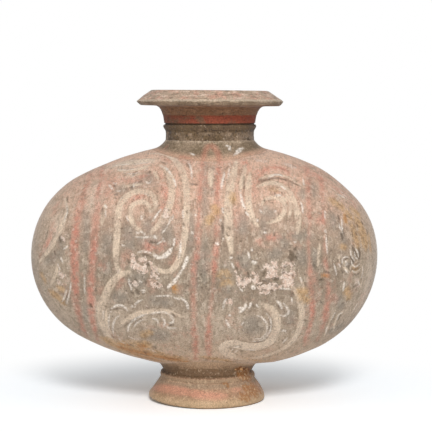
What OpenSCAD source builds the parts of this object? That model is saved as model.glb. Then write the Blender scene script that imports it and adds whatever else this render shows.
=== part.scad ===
// Cocoon jar: a grey earthenware vessel whose egg-shaped body lies on its side.
// The body is two thrown bowls joined rim to rim. The neck, the mouth and the foot are
// thrown apart and stuck on with luting clay, which is modelled as thin pieces of its own.
// The frame is +Z up, with X along the body and the origin on the ground below its middle.

/* [Body] */
// Depth of the left bowl, from the seam to its end
left_depth = 160; // [140:1:190]
// Depth of the right bowl, from the seam to its end
right_depth = 150; // [140:1:190]
// Radius of the body at the seam, where it is fullest
body_radius = 100.5; // [96:0.5:110]
// Radius of the left bowl's round end
left_end_radius = 82; // [70:1:88]
// Radius of the right bowl's round end
right_end_radius = 88; // [70:1:90]
// Thickness of the body's wall
body_wall = 8; // [5:0.5:12]

/* [Neck] */
// How far the neck's axis stands to the right of the seam
neck_shift = 0; // [-6:0.5:6]
// Outside radius of the neck
neck_radius = 39.5; // [38:0.5:46]
// Radius of the round way through the neck
neck_bore = 32; // [26:0.5:33]
// Height of the neck's top above the crown of the body
neck_height = 16.5; // [13:0.5:40]
// How far the bead at the neck's top stands out of the neck
neck_bead_proud = 2; // [1:0.1:4]
// Height of the bead at the neck's top
neck_bead_height = 4.5; // [2.5:0.1:7]

/* [Mouth] */
// Height of the flare, from the mouth's base to the underside of the rim
flare_height = 15.5; // [10:0.5:30]
// How far the flare moves out between the mouth's base and the rim
flare_run = 6.5; // [3:0.5:9]
// Radius of the rim's sharp edge
rim_radius = 65.5; // [63:0.5:80]
// Radius of the rim's underside, inside the lower bevel
rim_under_radius = 62; // [59:0.5:62.5]
// Height of the bevel below the rim's edge
rim_under_bevel = 4.5; // [2:0.5:8]
// Height of the bevel above the rim's edge
rim_top_bevel = 9.5; // [5:0.5:14]
// Outside radius of the flat top of the rim
rim_top_radius = 53; // [50:0.5:60]
// Radius of the opening in the top of the rim
mouth_opening = 46; // [38:0.5:48]

/* [Foot] */
// How far the foot's axis stands to the right of the seam
foot_shift = -3; // [-6:0.5:6]
// Height of the body's underside above the ground
foot_height = 29.5; // [26:0.5:60]
// Outside radius of the foot's stem
stem_radius = 41.3; // [38:0.1:44]
// How far the foot's bead stands out of the stem
foot_bead_proud = 1.7; // [1:0.1:3]
// Height of the middle of the foot's bead above the ground
foot_bead_middle = 21; // [16:0.5:22]
// Radius of the foot at its widest
foot_radius = 52.3; // [50:0.1:70]
// Radius of the rounding along the foot's edge
foot_edge = 4; // [2:0.5:5]
// Inside radius of the ring that the foot rests on
foot_rest_inner = 42; // [38:0.5:43]
// Radius of the hollow at the top of the foot
foot_hollow = 33; // [28:0.5:34]

/* [Luting clay] */
// Thickness of the clay between two pieces
lute = 1.5; // [0.8:0.1:2.5]
// How far the clay lies back in the groove below the mouth
lute_recess = 0.8; // [0.2:0.1:2]
// How far the clay that was squeezed out along the seam stands into the body
seam_squeeze = 2; // [0.5:0.1:4]
// Height above the crown to which clay was smoothed up the neck
neck_fillet_height = 4.5; // [3:0.5:8]
// Radius of the hollow curve of the clay that was smoothed round the neck
neck_fillet = 23; // [12:0.5:26]
// Width of the clay that was smoothed round the top of the foot
foot_fillet = 2.5; // [1:0.5:5]

/* [Hidden] */
$fn = 240;
arc_step = 6;
fillet_sweep = 60;
foot_slope = 36;
overcut = 5;

seam_x = (left_depth - right_depth) / 2;
neck_x = seam_x + neck_shift;
foot_x = seam_x + foot_shift;
axis_z = foot_height + body_radius;
crown_z = axis_z + body_radius;
neck_top_z = crown_z + neck_height;
mouth_base_z = neck_top_z + lute;
rim_under_z = mouth_base_z + flare_height;
rim_edge_z = rim_under_z + rim_under_bevel;
rim_top_z = rim_edge_z + rim_top_bevel;
neck_bead_radius = neck_radius + neck_bead_proud;
foot_bead_radius = stem_radius + foot_bead_proud;
foot_bead_low_z = foot_bead_middle - foot_bead_proud;
foot_bead_high_z = foot_bead_middle + foot_bead_proud;
stem_z = foot_bead_high_z + foot_bead_proud;
echo(length_depth_height = [left_depth + right_depth, 2 * body_radius, rim_top_z]);

// Points along an arc, from one angle to another
function arc(centre, radius, from, to) =
    let (steps = ceil(abs(to - from) / arc_step), turn = (to - from) / steps)
    [for (i = [0 : steps]) centre + radius * [cos(from + turn * i), sin(from + turn * i)]];

// Points along an arc that leaves start upright, moves out by run and climbs by rise
function flare(start, run, rise) =
    let (radius = (run * run + rise * rise) / (2 * run))
    arc(start + [radius, 0], radius, 180, 180 - asin(rise / radius));

function reversed(points) = [for (i = [len(points) - 1 : -1 : 0]) points[i]];

// Radius of the long arc between the seam and a bowl's round end
function crown_radius(depth, end_radius) =
    (pow(depth - end_radius, 2) + pow(body_radius, 2) - pow(end_radius, 2))
    / (2 * (body_radius - end_radius));

// Half of a bowl's outline: radius along X, distance from the seam along Y
module bowl_outline(depth, end_radius, grow, from) {
    crown = crown_radius(depth, end_radius);
    end_centre = depth - end_radius;
    join = end_centre * (1 + (end_radius + grow) / (crown - end_radius));
    intersection() {
        translate([body_radius - crown, 0]) circle(crown + grow);
        translate([0, from]) square([body_radius + overcut, join - from]);
    }
    intersection() {
        translate([0, end_centre]) circle(end_radius + grow);
        translate([0, join]) square([body_radius, depth + overcut - join]);
    }
}

// One bowl as a solid, grown outwards by grow, from a distance off the seam to its end
module bowl(side, grow, from) {
    translate([seam_x, 0, axis_z])
        rotate([0, -90, side == "right" ? 180 : 0])
            rotate_extrude()
                if (side == "right") bowl_outline(right_depth, right_end_radius, grow, from);
                else bowl_outline(left_depth, left_end_radius, grow, from);
}

// The whole body as a solid, grown outwards by grow
module body_form(grow) {
    bowl("left", grow, 0);
    bowl("right", grow, 0);
}

// The round way from the body up into the neck
module neck_way() {
    translate([neck_x, 0, axis_z]) cylinder(r = neck_bore, h = body_radius + overcut);
}

// A thrown bowl: its wall, its rim at the seam and its part of the hole below the neck
module body_half(side) {
    difference() {
        bowl(side, 0, lute / 2);
        bowl(side, -body_wall, lute / 2 - overcut);
        neck_way();
    }
}

module body_left() {
    color("#a08d78") body_half("left");
}

module body_right() {
    color("#a39078") body_half("right");
}

// Clay between the two rims, with the ridge that was squeezed out inside
module seam_lute() {
    inner = body_radius - body_wall;
    half = lute / 2;
    color("#9a6a50")
        difference() {
            translate([seam_x, 0, axis_z])
                rotate([0, -90, 0])
                    rotate_extrude()
                        polygon([[body_radius, -half], [body_radius, half], [inner, half],
                                 [inner - seam_squeeze, 0], [inner, -half]]);
            neck_way();
        }
}

// Neck tube with a bead round its top, cut to sit on the body
module neck() {
    bead_z = neck_top_z - neck_bead_height;
    color("#6e6258")
        difference() {
            translate([neck_x, 0, 0])
                rotate_extrude()
                    polygon([[neck_bore, axis_z], [neck_radius, axis_z], [neck_radius, bead_z],
                             [neck_bead_radius, bead_z + neck_bead_proud],
                             [neck_bead_radius, neck_top_z], [neck_bore, neck_top_z]]);
            body_form(lute);
        }
}

// Clay below the neck, smoothed up its side and out over the body
module neck_lute() {
    rise_z = crown_z + neck_fillet_height;
    curve = arc([neck_radius + neck_fillet, rise_z], neck_fillet, 180 + fillet_sweep, 180);
    color("#77695b")
        difference() {
            translate([neck_x, 0, 0])
                rotate_extrude()
                    polygon(concat(
                        [[neck_bore, axis_z], [curve[0][0], axis_z]],
                        curve,
                        [[neck_bore, rise_z]]
                    ));
            body_form(0);
            neck();
        }
}

// Clay in the groove between the neck and the mouth
module mouth_lute() {
    color("#3f352c")
        translate([neck_x, 0, neck_top_z])
            difference() {
                cylinder(r = neck_bead_radius - lute_recess, h = lute);
                translate([0, 0, -overcut]) cylinder(r = neck_bore, h = lute + 2 * overcut);
            }
}

// Flared mouth with its wide bevelled rim
module mouth() {
    outside = flare([neck_bead_radius, mouth_base_z], flare_run, flare_height);
    inside = flare([neck_bore, mouth_base_z], mouth_opening - neck_bore, rim_top_z - mouth_base_z);
    color("#8c6f5e")
        translate([neck_x, 0, 0])
            rotate_extrude()
                polygon(concat(
                    outside,
                    [[rim_under_radius, rim_under_z], [rim_radius, rim_edge_z], [rim_top_radius, rim_top_z]],
                    reversed(inside)
                ));
}

// Hollow flared foot with a bead round its stem, cut to sit under the body
module foot() {
    color("#a3886e")
        difference() {
            translate([foot_x, 0, 0])
                rotate_extrude()
                    polygon(concat(
                        [[foot_rest_inner, 0]],
                        arc([foot_radius - foot_edge, foot_edge], foot_edge, -90, foot_slope),
                        [[foot_bead_radius, foot_bead_low_z], [foot_bead_radius, foot_bead_high_z],
                         [stem_radius, stem_z], [stem_radius, axis_z],
                         [foot_hollow, axis_z], [foot_hollow, foot_height]]
                    ));
            body_form(lute);
        }
}

// Clay between the foot and the body, smoothed round the top of the stem
module foot_lute() {
    color("#6f6253")
        difference() {
            translate([foot_x, 0, 0])
                rotate_extrude()
                    polygon([[foot_hollow, foot_height], [stem_radius, foot_height],
                             [stem_radius + foot_fillet, foot_height + 2 * foot_fillet],
                             [stem_radius + foot_fillet, axis_z], [foot_hollow, axis_z]]);
            body_form(0);
            foot();
        }
}

body_left();
body_right();
seam_lute();
neck_lute();
neck();
mouth_lute();
mouth();
foot_lute();
foot();
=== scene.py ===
import math

import bmesh
import bpy
import numpy as np
from mathutils import Matrix, Vector, noise


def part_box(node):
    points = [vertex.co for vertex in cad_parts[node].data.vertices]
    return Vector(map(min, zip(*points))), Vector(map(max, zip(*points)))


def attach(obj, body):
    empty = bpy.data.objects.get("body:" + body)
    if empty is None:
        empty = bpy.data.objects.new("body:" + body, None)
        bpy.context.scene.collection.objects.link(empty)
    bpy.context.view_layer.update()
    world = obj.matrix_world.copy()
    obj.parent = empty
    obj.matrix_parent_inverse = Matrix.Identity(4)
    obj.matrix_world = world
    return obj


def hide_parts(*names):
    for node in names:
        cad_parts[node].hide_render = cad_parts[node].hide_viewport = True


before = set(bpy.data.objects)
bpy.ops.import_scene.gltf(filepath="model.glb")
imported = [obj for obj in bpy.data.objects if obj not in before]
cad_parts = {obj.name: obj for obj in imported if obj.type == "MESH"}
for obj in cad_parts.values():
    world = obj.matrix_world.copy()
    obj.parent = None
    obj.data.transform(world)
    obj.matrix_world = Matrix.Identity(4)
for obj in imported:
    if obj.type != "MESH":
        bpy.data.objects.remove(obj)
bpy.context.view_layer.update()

# The viewpoint
# The jar stands at eye height of its rim and is seen square from the front through a long lens.
# The painter's strokes further down are laid along sight lines from here, so it comes first.
image_px = 432
lens_px = 1550
sensor_mm = 36
eye = np.array([0.0105, -1.386, 0.2688])
eye_tilt = math.radians(4.28)

viewpoint_data = bpy.data.cameras.new("viewpoint")
viewpoint_data.sensor_width = sensor_mm
viewpoint_data.lens = lens_px * sensor_mm / image_px
viewpoint = bpy.data.objects.new("viewpoint", viewpoint_data)
viewpoint.location = eye
viewpoint.rotation_euler = (math.pi / 2 - eye_tilt, 0, 0)
bpy.context.collection.objects.link(viewpoint)
bpy.context.scene.camera = viewpoint


# The two thrown bowls of the body
# Each half of the body is a deep bowl of grey earthenware, turned on the wheel about what is now the
# jar's long axis. The two rims are butted together and the hole for the neck is cut across them.
# After firing the jar was painted cold: red bands, and cloud scrolls in cream and white between them.
mm = 0.001
touch = 0.01 * mm
seam_low, seam_high = (np.array(corner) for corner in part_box("seam_lute"))
seam_x = (seam_low[0] + seam_high[0]) / 2
seam_width = seam_high[0] - seam_low[0]
body_radius = (seam_high[1] - seam_low[1]) / 2
axis_z = seam_low[2] + body_radius
left_depth = seam_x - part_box("body_left")[0][0]
right_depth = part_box("body_right")[1][0] - seam_x
left_end_radius = 82 * mm
right_end_radius = 88 * mm
body_wall = 8 * mm
neck_bore = 32 * mm
neck_x = (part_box("neck")[0][0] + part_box("neck")[1][0]) / 2
foot_x = (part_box("foot")[0][0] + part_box("foot")[1][0]) / 2


def add_node(tree, kind, inputs=None, **settings):
    """A new node with its settings made, and its inputs set or linked by name or number."""
    made = tree.nodes.new(kind)
    for setting, value in settings.items():
        setattr(made, setting, value)
    for key, value in (inputs or {}).items():
        if isinstance(value, bpy.types.NodeSocket):
            tree.links.new(value, made.inputs[key])
        else:
            made.inputs[key].default_value = value
    return made


def calc(tree, operation, *values):
    """The result of a maths node on sockets or numbers."""
    return add_node(tree, "ShaderNodeMath", dict(enumerate(values)), operation=operation).outputs[0]


def vector_calc(tree, operation, *values, scale=None):
    """The result of a vector maths node: a place, or a number where the operation is LENGTH."""
    inputs = dict(enumerate(values))
    if scale is not None:
        inputs["Scale"] = scale
    made = add_node(tree, "ShaderNodeVectorMath", inputs, operation=operation)
    return made.outputs["Value"] if operation == "LENGTH" else made.outputs[0]


def separated(tree, place):
    """The three measures of a place."""
    return add_node(tree, "ShaderNodeSeparateXYZ", {0: place}).outputs


def combined(tree, x, y, z):
    """A place made of its three measures."""
    return add_node(tree, "ShaderNodeCombineXYZ", {0: x, 1: y, 2: z}).outputs[0]


def make_wheel():
    """The potter's wheel: turns a wall section, a chain of points (radius, 0, height), once round."""
    tree = bpy.data.node_groups.new("turned_on_the_wheel", "GeometryNodeTree")
    sockets = [
        ("Section", "NodeSocketGeometry"), ("Segments", "NodeSocketInt"),
        ("Front share", "NodeSocketFloat"), ("Warp", "NodeSocketFloat"),
        ("Warp size", "NodeSocketFloat"), ("Seed", "NodeSocketFloat"), ("Clay", "NodeSocketMaterial"),
    ]
    for label, kind in sockets:
        tree.interface.new_socket(label, in_out="INPUT", socket_type=kind)
    tree.interface.new_socket("Piece", in_out="OUTPUT", socket_type="NodeSocketGeometry")
    given = add_node(tree, "NodeGroupInput").outputs
    count = add_node(tree, "GeometryNodeAttributeDomainSize", {0: given["Section"]}).outputs["Point Count"]
    columns = calc(tree, "ADD", given["Segments"], 1)
    grid = add_node(tree, "GeometryNodeMeshGrid", {
        "Size X": 1.0, "Size Y": 1.0, "Vertices X": count, "Vertices Y": columns})
    place = add_node(tree, "GeometryNodeInputPosition").outputs[0]
    flat = separated(tree, place)
    step = calc(tree, "MULTIPLY", calc(tree, "ADD", flat[0], 0.5), calc(tree, "SUBTRACT", count, 1))
    sampled = add_node(tree, "GeometryNodeSampleIndex", {
        "Geometry": given["Section"], "Value": place, "Index": calc(tree, "ROUND", step)},
        data_type="FLOAT_VECTOR")
    wall = separated(tree, sampled.outputs[0])
    turn = calc(tree, "MULTIPLY", calc(tree, "ADD", flat[1], 0.5), 2 * math.pi)
    crowd = calc(tree, "MULTIPLY", given["Front share"], calc(tree, "SINE", turn))
    angle = calc(tree, "SUBTRACT", turn, crowd)
    ahead = calc(tree, "MULTIPLY", wall[0], calc(tree, "COSINE", angle))
    aside = calc(tree, "MULTIPLY", wall[0], calc(tree, "SINE", angle))
    round_place = combined(tree, aside, calc(tree, "MULTIPLY", ahead, -1), wall[2])
    turned_wall = add_node(tree, "GeometryNodeSetPosition", {
        "Geometry": grid.outputs["Mesh"], "Position": round_place}).outputs[0]
    closed = add_node(tree, "GeometryNodeMergeByDistance", {
        "Geometry": turned_wall, "Distance": touch}).outputs[0]
    wobble = add_node(tree, "ShaderNodeTexNoise", {
        "Vector": place, "W": given["Seed"], "Scale": calc(tree, "DIVIDE", 1, given["Warp size"]),
        "Detail": 1.0}, noise_dimensions="4D").outputs[0]
    swing = calc(tree, "MULTIPLY", given["Warp"], 2)
    swell = calc(tree, "MULTIPLY", calc(tree, "SUBTRACT", wobble, 0.5), swing)
    outward = vector_calc(tree, "NORMALIZE", vector_calc(tree, "MULTIPLY", place, (1, 1, 0)))
    push = vector_calc(tree, "SCALE", outward, scale=swell)
    warped = add_node(tree, "GeometryNodeSetPosition", {"Geometry": closed, "Offset": push}).outputs[0]
    whole = add_node(tree, "GeometryNodeRealizeInstances", {"Geometry": warped}).outputs[0]
    clad = add_node(tree, "GeometryNodeSetMaterial", {"Geometry": whole, "Material": given["Clay"]})
    add_node(tree, "NodeGroupOutput", {0: clad.outputs[0]})
    return tree


wheel = make_wheel()


def plain_mesh(piece):
    """Makes what a piece's modifiers give its own plain mesh, and takes the modifiers off."""
    seen = piece.evaluated_get(bpy.context.evaluated_depsgraph_get())
    mesh = bpy.data.meshes.new_from_object(seen)
    piece.modifiers.clear()
    piece.data = mesh


def turned(name, section, clay, segments, front_share=0.0, warp=0.0, warp_size=0.05, seed=0.0):
    """A piece turned on the wheel from a closed wall section, a list of (radius, height)."""
    chain = bpy.data.meshes.new(name)
    chain.from_pydata([(radius, 0, height) for radius, height in section], [], [])
    piece = bpy.data.objects.new(name, chain)
    bpy.context.collection.objects.link(piece)
    set_up = piece.modifiers.new("wheel", "NODES")
    set_up.node_group = wheel
    chosen = {"Segments": segments, "Front share": front_share, "Warp": warp, "Warp size": warp_size,
              "Seed": seed, "Clay": clay}
    for item in wheel.interface.items_tree:
        if item.in_out == "INPUT" and item.name in chosen:
            set_up[item.identifier] = chosen[item.name]
    plain_mesh(piece)
    return piece


def close_up(piece, crease=40):
    """Clears stray edges, turns the faces outwards, and leaves only hard edges sharp."""
    work = bmesh.new()
    work.from_mesh(piece.data)
    stray = [edge for edge in work.edges if not edge.link_faces]
    bmesh.ops.delete(work, geom=stray, context="EDGES")
    if work.calc_volume(signed=True) < 0:
        bmesh.ops.reverse_faces(work, faces=work.faces)
    work.to_mesh(piece.data)
    work.free()
    piece.data.shade_smooth()
    piece.data.set_sharp_from_angle(angle=math.radians(crease))


def places(piece):
    """The piece's vertices as an array of points."""
    points = np.empty(len(piece.data.vertices) * 3)
    piece.data.vertices.foreach_get("co", points)
    return points.reshape(-1, 3)


def move_to(piece, points):
    """Moves the piece's vertices to an array of points."""
    piece.data.vertices.foreach_set("co", points.ravel())
    piece.data.update()


def long_arc(depth, end_radius):
    """Radius of the long arc between the seam and a bowl's round end."""
    straight = depth - end_radius
    return (straight ** 2 + body_radius ** 2 - end_radius ** 2) / (2 * (body_radius - end_radius))


def bowl_line(depth, end_radius, grow, start, steps):
    """Evenly spaced points (radius, distance from the seam) along a bowl, from its rim to its pole."""
    crown = long_arc(depth, end_radius)
    first = math.asin(start / (crown + grow))
    change = math.asin((depth - end_radius) / (crown - end_radius))
    crown_length = (crown + grow) * (change - first)
    end_length = (end_radius + grow) * (math.pi / 2 - change)
    line = []
    for i in range(steps):
        gone = (crown_length + end_length) * i / steps
        bend, middle, off = crown, body_radius - crown, 0
        angle = first + gone / (crown + grow)
        if gone > crown_length:
            bend, middle, off = end_radius, 0, depth - end_radius
            angle = change + (gone - crown_length) / (end_radius + grow)
        line.append((middle + (bend + grow) * math.cos(angle), off + (bend + grow) * math.sin(angle)))
    return line + [(0.0, depth + grow)]


def radius_along(x):
    """The body's outer radius at distances along its length."""
    off = np.abs(x - seam_x)
    sides = []
    for depth, end_radius in ((left_depth, left_end_radius), (right_depth, right_end_radius)):
        crown = long_arc(depth, end_radius)
        change = (depth - end_radius) * (1 + end_radius / (crown - end_radius))
        long_part = body_radius - crown + np.sqrt(np.maximum(crown ** 2 - off ** 2, 0))
        end_part = np.sqrt(np.maximum(end_radius ** 2 - (off - depth + end_radius) ** 2, 0))
        sides.append(np.where(off < change, long_part, end_part))
    return np.where(x < seam_x, sides[0], sides[1])


def rough(points, size):
    """A gentle unevenness of a given size, from about -1 to 1, the same in every piece at a place."""
    return np.array([noise.noise(Vector(point) / size) for point in points])


body_sags = [
    # Middle along the body and reach as shares of the right depth, 1 above or -1 below, and swell.
    (0.5, 0.32, -1, 3.2 * mm), (0.88, 0.2, 1, -7 * mm), (-0.9, 0.26, 1, -1.3 * mm),
]
joint_reach = 48 * mm
neck_fade = 25 * mm
foot_fade = 14 * mm
pole_radius = 20 * mm
even_radius = 60 * mm


def hand_shaped(points):
    """Moves points of the body by the unevenness of its making. It sags at the lower right, and both ends
    are flatter above, the right one more. Where the neck and the foot sit, and at the poles, it is true."""
    off_x = (points[:, 0] - seam_x) / right_depth
    off_z = (points[:, 2] - axis_z) / body_radius
    swell = (rough(points, 70 * mm) - 0.5) * 0.8 * mm + rough(points, 16 * mm) * 0.2 * mm
    for middle, reach, side, rise in body_sags:
        swell += np.exp(-((off_x - middle) / reach) ** 2) * np.clip(side * off_z, 0, 1) * rise
    joint_x = np.where(off_z > 0, neck_x, foot_x)
    fade = np.where(off_z > 0, neck_fade, foot_fade)
    clear = np.clip((np.hypot(points[:, 0] - joint_x, points[:, 1]) - joint_reach) / fade, 0, 1)
    radius = np.hypot(points[:, 1], points[:, 2] - axis_z)
    factor = 1 + clear * swell / np.maximum(radius, pole_radius) * np.clip(radius / even_radius, 0, 1)
    shaped = points.copy()
    shaped[:, 1] = np.clip(points[:, 1] * factor, -body_radius, body_radius)
    shaped[:, 2] = axis_z + (points[:, 2] - axis_z) * factor
    return shaped


def cut_way(piece, clay):
    """Cuts the way into the neck through a piece of the body."""
    way_top = body_radius * 1.2
    section = [(0, 0), (neck_bore, 0), (neck_bore, way_top), (0, way_top)]
    way = turned(piece.name + "_way", section, clay, segments=128)
    way.data.transform(Matrix.Translation((neck_x, 0, axis_z)))
    close_up(way)
    cutting = piece.modifiers.new("way", "BOOLEAN")
    cutting.operation = "DIFFERENCE"
    cutting.solver = "MANIFOLD"
    cutting.object = way
    plain_mesh(piece)
    bpy.data.objects.remove(way)


def part_of_body(name, section, clay, segments):
    """A turned piece of the body, laid on its side, with the way into the neck cut and its shape uneven.
    The paint is laid on the even form, which the sight lines meet, and follows the surface from there."""
    piece = turned(name, section, clay, segments, front_share=0.5)
    piece.data.transform(Matrix.Translation((seam_x, 0, axis_z)) @ Matrix.Rotation(math.pi / 2, 4, "Y"))
    close_up(piece)
    cut_way(piece, clay)
    paint(piece, body_paints)
    move_to(piece, hand_shaped(places(piece)))
    close_up(piece)
    return piece


def bowl(name, side, depth, end_radius, clay):
    """One bowl of the body."""
    outer = bowl_line(depth, end_radius, grow=0, start=seam_width / 2, steps=252)
    inner = bowl_line(depth, end_radius, grow=-body_wall, start=seam_width / 2, steps=12)
    section = [(radius, side * off) for radius, off in outer + inner[::-1] + outer[:1]]
    return part_of_body(name, section, clay, segments=360)


def colour(code):
    """A colour written as in a paint chart, such as #a08c7a, as linear light."""
    parts = [int(code[i:i + 2], 16) / 255 for i in (1, 3, 5)]
    return tuple(p / 12.92 if p <= 0.04045 else ((p + 0.055) / 1.055) ** 2.4 for p in parts) + (1.0,)


def mixed(tree, share, first, second):
    """First and second colours mixed by a share from 0 to 1."""
    return add_node(tree, "ShaderNodeMix", {0: share, 6: first, 7: second}, data_type="RGBA").outputs[2]


def times(tree, *values):
    """The product of sockets and numbers."""
    product = values[0]
    for value in values[1:]:
        product = calc(tree, "MULTIPLY", product, value)
    return product


def coat(tree, tone, code, *shares):
    """A tone with a coat of another colour over it, as thick as the product of its shares."""
    return mixed(tree, times(tree, *shares), tone, colour(code))


def amount(tree, base, value, gain):
    """A base amount, raised by a value times its gain."""
    return calc(tree, "ADD", base, times(tree, value, gain))


def wander(tree, noise_value, reach):
    """A noise as a way to and fro about nought, of a given reach in all."""
    return times(tree, calc(tree, "SUBTRACT", noise_value, 0.5), reach)


def grain(tree, where, size, detail=4.0, harsh=0.55):
    """A noise whose largest spots are of a given size, about 0 to 1."""
    return add_node(tree, "ShaderNodeTexNoise", {
        "Vector": where, "Scale": 1 / size, "Detail": detail, "Roughness": harsh}).outputs[0]


def between(tree, value, low, high):
    """0 where a value is at low or beyond, 1 where it is at high or beyond, and smooth between."""
    return add_node(tree, "ShaderNodeMapRange", {0: value, 1: low, 2: high, 3: 0.0, 4: 1.0},
                    interpolation_type="SMOOTHSTEP").outputs[0]


def gritty(tree, where, tone, strength):
    """A colour with the light and dark grains of the clay showing through it."""
    grit = grain(tree, where, 1.1 * mm, 2, 0.7)
    level = add_node(tree, "ShaderNodeMapRange", {
        0: grit, 1: 0.3, 2: 0.7, 3: 1 + strength, 4: 1 - strength}).outputs[0]
    return add_node(tree, "ShaderNodeMix", {0: 1.0, 6: tone, 7: level}, data_type="RGBA",
                    blend_type="MULTIPLY").outputs[2]


def clay_ground(name, dark, middle, light):
    """Starts a material of bare weathered clay, and gives it with its place, its tone and its relief."""
    material = bpy.data.materials.new(name)
    material.use_nodes = True
    tree = material.node_tree
    tree.nodes.clear()
    where = add_node(tree, "ShaderNodeTexCoord").outputs["Object"]
    clouds = grain(tree, where, 26 * mm, 6, 0.62)
    mottle = grain(tree, where, 5 * mm, 5, 0.68)
    specks = grain(tree, where, 1.5 * mm, 3, 0.6)
    tone = mixed(tree, between(tree, clouds, 0.38, 0.62), colour(dark), colour(middle))
    tone = coat(tree, tone, light, between(tree, mottle, 0.5, 0.68), 0.7)
    tone = coat(tree, tone, dark, between(tree, specks, 0.56, 0.7), 0.6)
    tone = coat(tree, tone, light, between(tree, specks, 0.44, 0.32), 0.4)
    relief = calc(tree, "ADD", times(tree, mottle, 0.6), times(tree, specks, 0.35))
    return material, where, tone, relief


def fire(material, tone, relief, depth=0.5 * mm, dull=0.88, grit=0.4):
    """Ends a clay material with its grit, its relief of a given depth and a dull surface."""
    tree = material.node_tree
    where = add_node(tree, "ShaderNodeTexCoord").outputs["Object"]
    bump = add_node(tree, "ShaderNodeBump", {
        "Strength": 0.8, "Distance": depth, "Height": relief}).outputs[0]
    shader = add_node(tree, "ShaderNodeBsdfPrincipled", {
        "Base Color": gritty(tree, where, tone, grit), "Roughness": dull, "Normal": bump,
        "Specular IOR Level": 0.25, "Sheen Weight": 0.22, "Sheen Roughness": 0.35})
    add_node(tree, "ShaderNodeOutputMaterial", {"Surface": shader.outputs[0]})
    return material


sight_near = 1.24
sight_far = 1.42
sight_steps = 361


def sight_hits(picture_points, outside):
    """Where sight lines through points of the picture, in pixels, first come inside a form."""
    picture_points = np.asarray(picture_points, float)
    across = (picture_points[:, 0] - image_px / 2) / lens_px
    down = (picture_points[:, 1] - image_px / 2) / lens_px
    sight = np.stack([across, math.cos(eye_tilt) - down * math.sin(eye_tilt),
                      -math.sin(eye_tilt) - down * math.cos(eye_tilt)], axis=1)
    reach = np.linspace(sight_near, sight_far, sight_steps)
    trail = eye + sight[:, None, :] * reach[None, :, None]
    depth = outside(trail)
    first = np.where((depth < 0).any(axis=1), (depth < 0).argmax(axis=1), depth.argmin(axis=1))
    return trail[np.arange(len(trail)), first]


def outside_body(points):
    """How far points are outside the body."""
    return np.hypot(points[..., 1], points[..., 2] - axis_z) - radius_along(points[..., 0])


def brushed(points, step=0.7):
    """Points close together along a smooth line through the given ones."""
    points = np.asarray(points, float)
    padded = np.vstack([2 * points[0] - points[1], points, 2 * points[-1] - points[-2]])
    line = []
    for a, b, c, d in zip(padded, padded[1:], padded[2:], padded[3:]):
        count = max(2, int(np.hypot(*(c - b)) / step))
        for t in np.arange(count) / count:
            line.append(0.5 * (2 * b + (c - a) * t + (2 * a - 5 * b + 4 * c - d) * t ** 2
                               + (3 * b - a - 3 * c + d) * t ** 3))
    line.append(points[-1])
    return np.array(line)


def straight_behind(line):
    """The same line on the far side, so that a band closes into a ring."""
    return line * np.array([1, -1, 1])


def turned_behind(line):
    """The line as it shows when the jar is turned to its other face."""
    return np.stack([2 * seam_x - line[:, 0], -line[:, 1], line[:, 2]], axis=1)


px_size = 0.85 * mm


def laid_on(strokes_px, outside, behind):
    """Strokes of the picture as lines of points on a form, each with its width. Each is also laid on the
    far side of the jar, at the place that behind gives."""
    lines = []
    for width, stroke in strokes_px:
        front = sight_hits(brushed(stroke), outside)
        lines += [(width * px_size, front), (width * px_size, behind(front))]
    return lines


def laid_on_ends(strokes_mm):
    """Strokes given by places across and up from a bowl's pole, laid as lines on both round ends."""
    lines = []
    ends = ((-1, left_depth, left_end_radius), (1, right_depth, right_end_radius))
    for width, stroke in strokes_mm:
        across, up = brushed(stroke).T * mm
        for side, depth, end_radius in ends:
            off = depth - end_radius + np.sqrt(end_radius ** 2 - across ** 2 - up ** 2)
            lines.append((width * mm, np.stack([seam_x + side * off, across, axis_z + up], axis=1)))
    return lines


unpainted_mm = 50.0
brush_reach = 14 * mm
brush_tip = 0.45


def painted_field(points, lines):
    """How far each point is from the nearest stroke's edge, in mm, below 0 within the stroke.
    A stroke thins towards its ends, where the brush lifts."""
    field = np.full(len(points), unpainted_mm)
    for width, line in lines:
        near = (points > line.min(0) - brush_reach) & (points < line.max(0) + brush_reach)
        near = np.all(near, axis=1)
        if not near.any():
            continue
        close = points[near]
        edge = np.full(len(close), np.inf)
        lift = np.interp(np.linspace(0, 1, len(line)), (0, 0.2, 0.8, 1), (brush_tip, 1, 1, brush_tip))
        for place, half_width in zip(line, lift * width / 2):
            edge = np.minimum(edge, np.sqrt(((close - place) ** 2).sum(axis=1)) - half_width)
        field[near] = np.minimum(field[near], edge / mm)
    return field


def paint(piece, paints):
    """Lays paints on a piece, each as a field of its own."""
    points = places(piece)
    for label, lines in paints.items():
        layer = piece.data.attributes.new(label, "FLOAT", "POINT")
        layer.data.foreach_set("value", painted_field(points, lines))


def flakes(tree, where, size):
    """A random number from 0 to 1 for each flake, of about a given size, that the paint breaks into."""
    stir = add_node(tree, "ShaderNodeTexNoise", {
        "Vector": where, "Scale": 1 / size, "Detail": 2.0}).outputs[1]
    bent = vector_calc(tree, "ADD", where, vector_calc(tree, "SCALE", stir, scale=1.4 * size))
    cells = add_node(tree, "ShaderNodeTexVoronoi", {"Vector": bent, "Scale": 1 / size}).outputs["Color"]
    return add_node(tree, "ShaderNodeSeparateColor", {0: cells}).outputs[0]


def left_on(tree, cover, flake):
    """Where a paint is left, 0 or 1: all its flakes where it covers fully, fewer where it is thin."""
    return between(tree, calc(tree, "SUBTRACT", cover, flake), -0.06, 0.06)


def brushwork(tree, label, ragged, soft, fray):
    """Where a paint lies, 0 to 1, with an edge of a given softness in mm and a share of raggedness."""
    distance = add_node(tree, "ShaderNodeAttribute", attribute_name=label).outputs["Fac"]
    return between(tree, calc(tree, "ADD", distance, times(tree, ragged, fray)), soft, -soft)


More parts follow.
